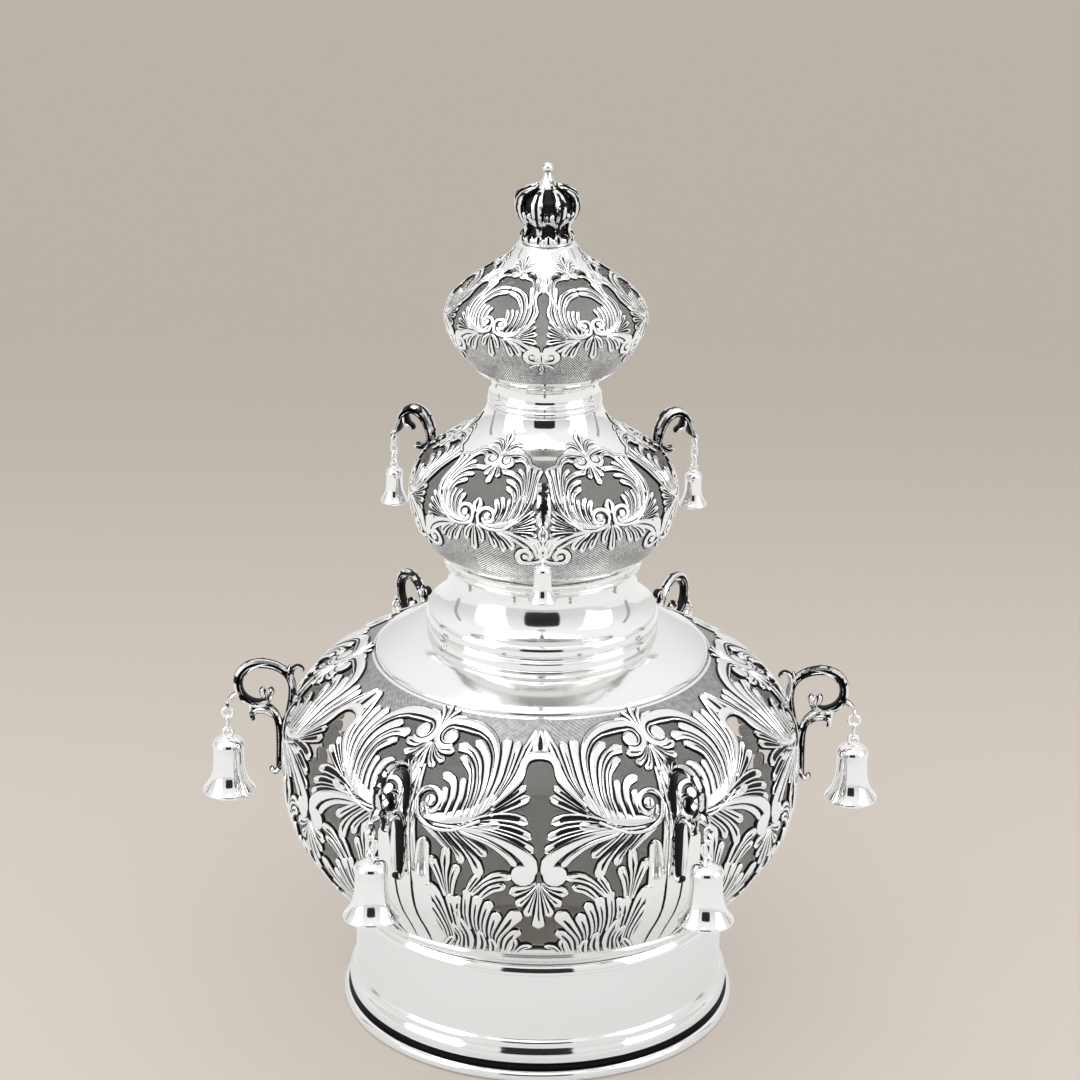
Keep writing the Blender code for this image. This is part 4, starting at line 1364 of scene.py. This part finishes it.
def lower_waist() -> Turned:
    """The neck between the bowl and the middle bulb.

    Returns:
        The piece.
    """
    outer = rings((41.4, 220.4), (42.9, 220.2), (43.9, 219.4), (43.9, 218.4), (43, 217.7),
                  (42.6, 217.4, 0.3), (42.6, 217.0, 0.3), (43.4, 216.7), (44, 216), (44, 215.2),
                  (43.3, 214.5), (42.4, 214.2, 0.3), (42.2, 213.7, 0.3), (42.2, 213.2),
                  (41.8, 211.6), (41.6, 209.5))
    outer += smooth_rings([(41.7, 208.4), (42.3, 205.8), (43.2, 202.8), (45.2, 198.8),
                           (48.2, 195.9), (50.9, 194.2)], steps=4)
    outer += rings((51.2, 194), (51.75, 192.4), (51.95, 191.6), (52, 190.6), (52, 188.2),
                   (51.7, 187.6), (51.2, 187.2, 0.3), (50.9, 186.8, 0.3), (51.2, 186.4),
                   (51.5, 185.9), (51.6, 185.4), (51.6, 184.3), (51.93, 183.3),
                   (51.9, 182.7), (51.3, 182.05), (49, 182.3), (47.4, 182.5))
    inner = inside((47.2, 183.5), (43, 197.6), (40.4, 209.5), (40.4, 220.4))
    return Turned("silver_lower_waist", "lower_waist", outer + inner, segments=144)


def upper_waist() -> Turned:
    """The short neck with beads between the middle and the top bulb.

    Returns:
        The piece.
    """
    outer = rings((23.4, 303.6), (24.4, 303.4), (24.8, 302.8), (24.6, 302.2),
                  (24.1, 301.9, 0.2), (23.7, 301), (23.4, 299.4), (23.3, 297.8),
                  (23.5, 296.4), (23.9, 295.4), (24.3, 295, 0.25), (24.8, 294.5),
                  (24.9, 293.9), (24.5, 293.3, 0.25), (24.4, 292.9, 0.3), (24.9, 292.4),
                  (25.2, 291.6), (25.1, 290.8), (24.6, 290.35), (23.4, 290.35))
    inner = inside((22, 290.4), (22, 297), (22, 303.6))
    return Turned("silver_upper_waist", "upper_waist", outer + inner, segments=96)


@dataclass
class SmallBulb:
    """A smaller pierced bulb with a hatched ground: the middle or the top one."""

    name: str
    node: str
    sheet: Sheet
    shoulder: Sequence[Ring]
    foot: Sequence[Ring]
    ornament: Sequence[Sequence[Stroke | Boss]]
    crest: Sequence[Point]  # lower edge of the plain shoulder, in the drawing
    dip: Sequence[Point]  # upper edge of the hatched ground
    low: float  # its lower edge
    turned: float | None = None  # degrees that the drawing is turned by about the axis
    segments: int = 144

    def build(self, silver: Silver) -> None:
        """Make the piece and dress it.

        Args:
            silver: the materials.
        """
        parts = Parts()
        turn(parts, self.shoulder, self.segments)
        turn(parts, self.foot, self.segments)
        place, top = self.sheet.place, level(self.sheet.brink - 1)
        lay_skirt(parts, place, self.crest, top, (0.0, -2.2), rows=14, step=3.4)
        lay_skirt(parts, place, level(self.low), self.dip, (-0.2, -2.4), ground=MATTE, step=3.4)
        lay_all(parts, self.sheet, self.ornament, step=12, rise=0.7, depth=2.2, edge=2.3,
                fullness=1.6)
        silver.make(parts, self.name, HATCHED, self.node, SOFT_CREASE, self.turned)


def middle_bulb() -> SmallBulb:
    """The middle bulb, with its long polished shoulder.

    Returns:
        The piece.
    """
    sheet = Sheet([(44, 220.7), (50, 225), (54.2, 229.7), (57.4, 235.5), (59.4, 245),
                   (58.8, 253), (55.6, 261), (51, 265.8), (44.6, 270), (38, 274.4),
                   (33.4, 277.4), (29.6, 280.9), (27.2, 284.2), (26, 286.6), (25.2, 289.4)],
                  [(0, 0), (56, 25), (89.8, 42), (127.8, 59), (157.3, 69.5), (182.9, 77),
                   (200.5, 81.5)], scale=0.5, brink=229)
    shoulder = rings((22.9, 290.3), (24.4, 290.2), (25, 289.9), (25.2, 289.5), (25.25, 289.2))
    shoulder += inside((24.4, 288.8), (23.2, 289.2), (22.9, 289.8))
    foot = smooth_rings([(52.3, 227.6), (50, 225.1), (47, 222.7), (44.6, 221.2), (43.2, 220.7)])
    foot += inside((42.6, 221.8), (48.4, 225.4), (51.2, 228.6))
    crest = [(0, 142), (6, 146), (14, 150), (19, 154), (22, 161), (30, 167), (42, 168.6),
             (52, 166.6), (HALF, 160)]
    dip = [(0, 69), (6, 70), (14, 71.6), (26, 73.6), (42, 76), (55, 77), (HALF, 78)]
    return SmallBulb("silver_middle_bulb", "middle_bulb", sheet, shoulder, foot,
                     MIDDLE_ORNAMENT, crest, dip, low=17)


def top_bulb() -> SmallBulb:
    """The top bulb, with its hollow-sided polished shoulder.

    Returns:
        The piece.
    """
    sheet = Sheet([(25.2, 303.9), (30.9, 306.4), (35.2, 310.8), (39.6, 316.2), (42.8, 322.6),
                   (44.2, 328.8), (43.2, 333.8), (40.2, 338.6), (35.6, 342.8), (30.2, 346.9),
                   (24.2, 351), (19.4, 354), (15.8, 357.4), (13.2, 361)],
                  [(9, 2), (88.7, 26), (98.2, 29.5), (129.3, 41), (183.6, 57.5), (209.7, 63.5),
                   (244.9, 70), (278.9, 75)], scale=0.38, brink=312)
    shoulder = rings((10.8, 362.8), (11.8, 362.7), (12.6, 362), (13.2, 360.9))
    shoulder += inside((12.5, 360.2), (11.6, 360.6), (11, 361.8))
    foot = smooth_rings([(33.6, 309), (30.4, 306), (28, 304.7), (25.2, 303.95)])
    foot += inside((25, 304.9), (29.6, 306.9), (32.4, 309.8))
    crest = [(0, 190), (6, 196), (12, 210), (15, 226), (24, 238), (36, 242), (48, 240),
             (HALF, 236)]
    dip = [(0, 103), (6, 104.6), (15, 107.6), (28, 111.6), (44, 113.6), (HALF, 115)]
    return SmallBulb("silver_top_bulb", "top_bulb", sheet, shoulder, foot, TOP_ORNAMENT,
                     crest, dip, low=36, turned=-2.2)


@dataclass
class Finial:
    """Small cast crown with eight leafy ribs, a cone and a ball."""

    ribs: int = 8
    half: float = 5.2  # half the distance between two ribs at the widest
    base: float = 363.0
    ball: float = 395.5
    turned: float = -19.0  # bearing of the first rib, in degrees
    ball_radius: float = 2.3
    pin: float = 1.2  # radius of the neck under the ball
    ball_rings: int = 8
    core: float = 0.05  # nearest that the ornament comes to the axis
    segments: int = 48

    def place(self, x: np.ndarray, y: np.ndarray, lift: np.ndarray) -> np.ndarray:
        """Places on the finial's body.

        Args:
            x: across, from the middle of the first rib.
            y: length up the profile.
            lift: distance outwards.

        Returns:
            Places in millimetres, three numbers each.
        """
        places = smooth_curve([(10.6, 363.6), (10.6, 365.6), (9.6, 367.6), (9.2, 369.4),
                               (10, 372), (11.8, 375), (13.2, 378.6), (13, 382), (11.5, 384.3),
                               (8.6, 385.6), (4.8, 386.6), (3.4, 388.4), (2, 390.6),
                               (1.4, 392.6)])
        radius, height = off_profile(places, y, lift)
        bearing = np.radians(x * 180 / self.ribs / self.half)
        return round_axis(np.maximum(radius, self.core), height, bearing)

    def strokes(self) -> list[Stroke]:
        """The ornament of one rib and of the leaf beside it.

        Returns:
            Its strokes.
        """
        h = self.half
        return [
            Stroke([(0, 0.2), (0, 4.6)], (3.4, 4.4, 2.6), V, 0.2, True),
            Stroke([(h, 0.2), (h, 4.4)], (3.4, 4.8, 2.6), V, 0.2, True),
            Stroke([(h / 2, 0.2), (h / 2, 3.2)], (2, 2.8, 2), F, 0.1),
            Stroke([(0, 4.4), (0, 12), (0, 21), (0, 29.4)], (3.4, 4.8, 4.6), V, 0.5, True, True),
            Stroke([(1.2, 8), (2.6, 10.2), (4, 11.3), (h, 11.6)], (1.5, 2, 2.2), F, 0.35),
            Stroke([(1.6, 10.6), (3, 12), (4, 14), (3.2, 15.8)], (1.5, 2.2, 2.2), F, 0.4),
            Stroke([(1, 17), (1.9, 19.4), (1.6, 21.6)], (1.2, 1.6, 1.4), F, 0.7),
        ]

    def build(self, silver: Silver) -> None:
        """Make the piece and dress it.

        Args:
            silver: the materials.
        """
        parts = Parts()
        body = [(10, 366), (9, 367.8), (8.6, 369.4), (9.2, 372), (10.8, 375.2), (12, 378.6),
                (11.8, 382), (10.4, 383.6), (7.6, 384.8)]
        outer = rings((0, self.base), (10.2, self.base), (11.2, 363.2), (11.5, 363.8),
                      (11.2, 364.4), (10.4, 364.8, 1))
        outer += smooth_rings(body, mark=1)
        outer += rings((5.6, 385.8, 1), (4.8, 386.6, 1), (4.7, 387.2), (4.1, 388), (3, 389.4),
                       (2.1, 391), (1.5, 392.6), (1.3, 393.4))
        for step in range(1, self.ball_rings):
            angle = math.pi * (1 - step / self.ball_rings)
            radius = max(self.ball_radius * math.sin(angle), self.pin if step == 1 else 0)
            outer.append(Ring(radius, self.ball + self.ball_radius * math.cos(angle)))
        outer.append(Ring(0, self.ball + self.ball_radius))
        turn(parts, outer[::-1], self.segments, closed=False)
        for stroke in self.strokes():
            copies = copies_round(stroke.single, self.ribs, 2 * self.half)
            lay_stroke(parts, stroke, self.place, copies, step=2.4, rise=0.9, depth=1.2, edge=0.3)
        for copy in copies_round(True, self.ribs, 2 * self.half):
            for height, radius in ((30.4, 1.3), (27.8, 1.7)):
                knob = Boss(0, height, radius, 0.4)
                lay_boss(parts, knob, self.place, [copy], rise=1.1, depth=1.0)
        silver.make(parts, "silver_finial", CAST, "finial_crown", TURNED_CREASE, self.turned)


def upright(x: np.ndarray, y: np.ndarray, lift: np.ndarray) -> np.ndarray:
    """Places in the radial plane along +X, from distance, height and lift aside."""
    return np.stack([x, -lift, y], 1)


def lay_link(parts: Parts, centre: Place, half: Point, wire: float, radial: bool,
             around: int = 40, section: int = 10) -> None:
    """Add a wire ring or oval link.

    Args:
        parts: where it goes.
        centre: its middle.
        half: half its width and half its height, to the wire's middle.
        wire: the wire's radius.
        radial: it stands in the radial plane; if not, square to it.
        around: facets along the wire.
        section: facets round the wire.
    """
    along, ring = np.meshgrid(np.arange(around) * 2 * math.pi / around,
                              np.arange(section) * 2 * math.pi / section, indexing="ij")
    side = (half[0] + wire * np.cos(ring)) * np.cos(along)
    up = (half[1] + wire * np.cos(ring)) * np.sin(along)
    off = wire * np.sin(ring)
    x, y = (side, -off) if radial else (off, side)
    places = np.stack([x + centre[0], y + centre[1], up + centre[2]], -1).reshape(-1, 3)
    parts.add(places, grid_faces(around, section, True, True), np.zeros(len(places)),
              flip=not radial)


LOOP_SUNK = 0.6  # how deep a bell's loop is sunk into its top, to the wire's radius


@dataclass
class Tier:
    """Brackets, chains and bells hung round one bulb."""

    name: str
    bearings: Sequence[int]
    hang: float  # distance of the bells from the axis
    mouth: float  # height of the bells' mouths
    scale: float  # width of a bell to that of a lower bell
    tall: float  # height of a bell to that of a lower bell
    wire: float  # radius of the wire
    loop: float  # radius of the loop on top of a bell
    links: Sequence[tuple[str, float, Point, bool]]  # node, height, half size, radial
    eye: tuple[float, float, bool]  # height, radius, radial
    strokes: Sequence[Stroke]
    thickness: float
    segments: int = 56

    def bell(self) -> Parts:
        """A bell with its loop.

        Returns:
            Its solids, along +X.
        """
        profile = rings((0, 27.4), (1.6, 27.3), (3.4, 26.9), (5.2, 26.1), (6.3, 25.2),
                        (6.75, 24.6), (7.25, 23.1), (7.3, 22.6), (7.05, 22.1, 0.2), (6.95, 19),
                        (7, 14.6), (7.3, 11.4), (7.9, 8.4), (9.1, 5.4), (10.4, 3.2), (11.4, 1.9),
                        (12, 1.2), (12.1, 0.6), (11.8, 0.05), (11.4, 0))
        height = profile[0].height
        profile += inside((10.9, 0.5), (9.2, 3.8), (7.4, 8), (6.5, 12), (6.2, 18), (6.2, 22.6),
                          (5, 24.6), (0, 26.2))
        sized = [replace(ring, radius=ring.radius * self.scale,
                         height=self.mouth + ring.height * self.tall) for ring in profile]
        parts = Parts()
        turn(parts, sized, self.segments, closed=False, centre=(self.hang, 0))
        middle = self.mouth + height * self.tall + self.loop - LOOP_SUNK * self.wire
        lay_link(parts, (self.hang, 0, middle), (self.loop, self.loop), self.wire, True)
        return parts

    def bracket(self) -> Parts:
        """A leafy scroll with the eye that the chain hangs from.

        Returns:
            Its solids, along +X.
        """
        parts = Parts()
        for stroke in self.strokes:
            lay_stroke(parts, stroke, upright, [(1, 0)], step=1.6, rise=self.thickness, depth=0,
                       two_sided=True, edge=0.4)
        height, radius, radial = self.eye
        lay_link(parts, (self.hang, 0, height), (radius, radius), self.wire, radial)
        return parts

    def put(self, silver: Silver, parts: Parts, finish: SilverFinish, node: str) -> None:
        """Place a copy of a piece at each bearing.

        Args:
            silver: the materials.
            parts: the piece along +X.
            finish: its finish.
            node: the replaced node's name, to which a number is added.
        """
        for number, bearing in enumerate(self.bearings, start=1):
            silver.make(parts, f"silver_{node}_{number}", finish, f"{node}_{number}", CAST_CREASE,
                        bearing - 90)

    def build(self, silver: Silver) -> None:
        """Make every piece of the tier and dress it.

        Args:
            silver: the materials.
        """
        self.put(silver, self.bracket(), CAST, f"{self.name}_bracket")
        self.put(silver, self.bell(), BELL, f"{self.name}_bell")
        for node, height, half, radial in self.links:
            parts = Parts()
            lay_link(parts, (self.hang, 0, height), half, self.wire, radial)
            self.put(silver, parts, BELL, node)


def lower_tier() -> Tier:
    """Six brackets with a ring, a link and a large bell each.

    Returns:
        The tier.
    """
    scroll = (
        Stroke([(116.6, 131), (114.3, 139.6), (112.9, 147.2), (113, 153.4), (115.1, 158.2),
                (119.2, 161.4), (124.2, 162.9), (129.2, 162.8), (133.4, 161), (136.2, 157.8),
                (137.3, 153.6), (136.7, 149.4), (134.6, 146), (131.4, 143.9), (127.8, 143.2),
                (124.9, 144.4), (123.6, 147.4), (124.4, 150.4)],
               (3, 4.6, 4.2), V, 0, outlined=True),
        Stroke([(119.1, 111.4), (118.9, 116), (118.5, 123), (118.5, 130.4), (120, 136.8),
                (122.6, 140.8), (125.6, 142.6)], (3.2, 4.4, 3), V, 0.2, outlined=True),
        Stroke([(118.6, 114.4), (119.4, 111.2), (121, 109.4), (122.6, 110.2), (122.2, 112)],
               (2.6, 2.6, 2.2), F, 0.1),
        Stroke([(120.8, 137), (124.4, 139.4), (128, 140), (130.8, 138.8), (131.2, 136.2),
                (130, 135.2)], (3, 3.4, 2.2), F, 0.1, outlined=True),
        Stroke([(130.4, 143.6), (131.8, 141.4), (131.4, 138.4)], (2.4, 2.6, 2), F),
        Stroke([(111.8, 146.6), (112.7, 152), (113.2, 157), (112.4, 160.4), (110.2, 161.8),
                (108.2, 160.8), (108, 159)], (2.4, 2.5, 1.8), F, 0.1),
        Stroke([(114.8, 156.4), (114.4, 159.4), (113.6, 162.4)], (2.6, 2.4, 1), F),
        Stroke([(122.6, 147), (122.2, 149.4), (122.8, 151.2)], (2.2, 2.8, 2), F, 0.1),
        Stroke([(125.2, 146), (126.4, 149), (126.2, 151.4)], (2.4, 3, 2), F, 0.1),
        Stroke([(116, 119), (116.8, 126), (116.4, 133), (114.8, 138)], (3, 3.6, 3), F, -0.3,
               outlined=True),
        Stroke([(136.4, 148.4), (139.4, 147), (141.9, 144.6)], (2.6, 2.6, 1.8), F),
        Stroke([(122, 163.4), (127, 162.4), (131.4, 160.2), (134, 156.8)], (1, 2.2, 1), F, 0.7,
               outlined=True),
    )
    links = (("lower_link", 133.4, (1.5, 3.7), False), ("lower_ring", 138.3, (2.5, 2.5), True))
    return Tier("lower", LOWER_BEARINGS, hang=142.3, mouth=99.5, scale=1.0, tall=1.0, wire=0.72,
                loop=2.2, links=links, eye=(141.9, 1.6, False), strokes=scroll, thickness=1.9)


def middle_tier() -> Tier:
    """Three smaller brackets with three links and a small bell each.

    Returns:
        The tier.
    """
    scroll = (
        Stroke([(58.6, 255), (58.4, 261.6), (60, 268), (63.6, 272.6), (68.2, 273.8),
                (72.6, 271.2), (75, 266.4), (76.4, 261.6)], (3.4, 5, 2.6), V, 0, outlined=True),
        Stroke([(60, 259.4), (62.4, 257.4), (65, 257), (66.8, 257.8)], (2.6, 3.4, 2.4), V),
        Stroke([(72.6, 270.4), (71.4, 266.6), (69, 265.6), (67.6, 264)], (2.6, 2.6, 1.6), F),
        Stroke([(61.6, 269.6), (66.6, 272.8), (71.2, 271)], (1, 1.8, 1), F, 0.7, outlined=True),
        Stroke([(75.8, 262.6), (77.4, 261.4), (78.4, 259.8)], (2, 2, 1.4), F),
    )
    links = (("middle_link_1", 248.6, (1.5, 2.8), False), ("middle_link_2", 253.1, (1.5, 2.8), True),
             ("middle_link_3", 257.0, (1.6, 2.6), False))
    return Tier("middle", MIDDLE_BEARINGS, hang=78.4, mouth=227.4, scale=0.53, tall=0.6,
                wire=0.56, loop=1.7, links=links, eye=(259.6, 1.4, True), strokes=scroll,
                thickness=2.7)


# Studio.


@dataclass(frozen=True)
class Lamp:
    """A soft rectangular light aimed at the crown."""

    name: str
    place: Place
    size: Point
    power: float
    aim: Place = (0, 0, 0.2)

    def build(self) -> None:
        """Hang the light."""
        data = bpy.data.lights.new(self.name, "AREA")
        data.shape = "RECTANGLE"
        data.size, data.size_y = self.size
        data.energy = self.power
        lamp = into_scene(self.name, data)
        lamp.location = self.place
        way = Vector(self.aim) - Vector(self.place)
        lamp.rotation_euler = way.to_track_quat("-Z", "Y").to_euler()
        lamp.visible_diffuse = False


@dataclass(frozen=True)
class Card:
    """A flat card that only the silver reflects."""

    name: str
    places: Sequence[Place]
    shade: float

    def build(self) -> None:
        """Hang the card."""
        mesh = bpy.data.meshes.new(self.name)
        mesh.from_pydata(list(self.places), [], [tuple(range(len(self.places)))])
        material, _, shader = new_material(self.name)
        shader.inputs["Base Color"].default_value = (self.shade, self.shade, self.shade, 1)
        shader.inputs["Roughness"].default_value = 1.0
        mesh.materials.append(material)
        card = into_scene(self.name, mesh)
        card.visible_camera = False
        card.visible_diffuse = False


@dataclass
class Studio:
    """Floor, room, lights and camera. Sizes here are in metres."""

    floor_size: float = 40.0
    floor_height: float = -0.0001
    painted_fall_off: Point = (-0.2, 1.0)  # from where to where the floor's colour darkens: a painted fall-off of light
    # painted light: the near colour is raised to cancel the crown's shadow, and the far one is
    # lowered as painted fall-off
    near: Colour = (0.76, 0.685, 0.62)
    far: Colour = (0.497, 0.451, 0.391)
    mirrored: Colour = (0.97, 0.97, 0.96)  # what the silver reflects of the floor
    wall: Colour = (0.47, 0.43, 0.37)
    room: Colour = (0.72, 0.72, 0.71)  # what the silver reflects from the sides
    ceiling: Colour = (1.02, 1.02, 1.02)
    brighter: Point = (-0.1, 0.8)  # from which to which slope upwards the room gets brighter
    lamps: Sequence[Lamp] = (
        Lamp("top_light", (-0.3, -0.4, 1.8), (1.8, 1.6), 16),
        Lamp("left_light", (-1.7, -0.9, 0.9), (1.4, 1.5), 14),
        Lamp("right_light", (1.8, -0.7, 1.0), (1.3, 1.5), 11),
    )
    opening_half: float = 0.66
    opening_sill: float = 0.3
    opening_head: float = 1.12
    opening_bend: float = 0.16  # radius of its corners
    opening_away: float = -1.75
    opening_steps: int = 4  # edges that round each corner
    opening_shade: float = 0.01
    seam_near: Point = (1.7, 0.62)  # aside and back
    seam_far: Point = (1.62, 0.78)
    seam_heights: Point = (0.02, 1.5)
    seam_shade: float = 0.45
    lens: float = 116.5  # millimetres
    distance: float = 1.557
    target: float = 0.2244
    elevation: float = 21.33  # degrees
    roll: float = 0.72  # degrees
    shift: float = -0.00287

    def floor(self) -> None:
        """A wide pale floor, painted a little darker further back as painted shade for the light's
        fall-off, and painted lighter near the crown to cancel the crown's shadow on it.
        """
        half, height = self.floor_size / 2, self.floor_height
        mesh = bpy.data.meshes.new("floor")
        mesh.from_pydata([(-half, -half, height), (half, -half, height), (half, half, height),
                          (-half, half, height)], [], [(0, 1, 2, 3)])
        material, nodes, shader = new_material("pale_floor")
        where = nodes.add("ShaderNodeTexCoord").outputs["Object"]
        back = nodes.add("ShaderNodeSeparateXYZ", {0: where}).outputs["Y"]
        # painted light and shade: the floor's colour carries the light's fall-off towards the back
        colour = nodes.blend(nodes.band(back, *self.painted_fall_off), (*self.near, 1), (*self.far, 1))
        seen = nodes.add("ShaderNodeLightPath").outputs["Is Camera Ray"]
        colour = nodes.blend(seen, (*self.mirrored, 1), colour)
        material.node_tree.links.new(colour, shader.inputs["Base Color"])
        shader.inputs["Roughness"].default_value = 0.9
        shader.inputs["Specular IOR Level"].default_value = 0.2
        mesh.materials.append(material)
        into_scene("floor", mesh)

    def sky(self) -> None:
        """A bright room round the crown, seen as a plain wall where it is in view."""
        world = bpy.data.worlds.new("studio")
        world.use_nodes = True
        bpy.context.scene.world = world
        nodes = Nodes(world.node_tree)
        where = nodes.add("ShaderNodeTexCoord").outputs["Generated"]
        up = nodes.add("ShaderNodeSeparateXYZ", {0: where}).outputs["Z"]
        share = nodes.band(up, *self.brighter)
        colour = nodes.blend(share, (*self.room, 1), (*self.ceiling, 1))
        seen = nodes.add("ShaderNodeLightPath").outputs["Is Camera Ray"]
        colour = nodes.blend(seen, colour, (*self.wall, 1))
        world.node_tree.links.new(colour, world.node_tree.nodes["Background"].inputs["Color"])

    def opening(self) -> None:
        """The dark round-cornered opening in the light tent."""
        bend, side = self.opening_bend, self.opening_half - self.opening_bend
        low, high = self.opening_sill + bend, self.opening_head - bend
        edge = []
        for x, z, first in ((side, low, -90), (side, high, 0), (-side, high, 90),
                            (-side, low, 180)):
            for k in range(self.opening_steps + 1):
                angle = math.radians(first + 90 / self.opening_steps * k)
                edge.append((x + bend * math.cos(angle), self.opening_away,
                             z + bend * math.sin(angle)))
        Card("dark_opening", edge, self.opening_shade).build()

    def seams(self) -> None:
        """The tent's two upright seams."""
        (near, near_back), (far, far_back) = self.seam_near, self.seam_far
        low, high = self.seam_heights
        for side, name in ((-1, "left_seam"), (1, "right_seam")):
            places = [(side * near, near_back, low), (side * far, far_back, low),
                      (side * far, far_back, high), (side * near, near_back, high)]
            Card(name, places, self.seam_shade).build()

    def camera(self) -> None:
        """The camera, looking down at the crown from the front."""
        data = bpy.data.cameras.new("camera")
        data.sensor_width = 36.0
        data.lens = self.lens
        data.shift_x = self.shift
        camera = into_scene("camera", data)
        lean = math.radians(self.elevation)
        place = Vector((0, -self.distance * math.cos(lean),
                        self.target + self.distance * math.sin(lean)))
        look = Matrix.Rotation(math.pi / 2 - lean, 4, "X")
        camera.matrix_world = (Matrix.Translation(place) @ look
                               @ Matrix.Rotation(math.radians(self.roll), 4, "Z"))
        bpy.context.scene.camera = camera

    def build(self) -> None:
        """Set up the studio."""
        bpy.context.scene.view_settings.view_transform = "Standard"
        self.floor()
        self.sky()
        self.opening()
        self.seams()
        for lamp in self.lamps:
            lamp.build()
        self.camera()


def main() -> None:
    """Load the frame, build every piece round it, and set up the studio."""
    logging.basicConfig(level=logging.INFO, format="%(name)s: %(message)s")
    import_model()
    silver = Silver()
    for piece in (base_band(), LowerBowl(), lower_waist(), middle_bulb(), upper_waist(),
                  top_bulb(), Finial(), lower_tier(), middle_tier()):
        piece.build(silver)
    Studio().build()


if __name__ == "__main__":
    main()
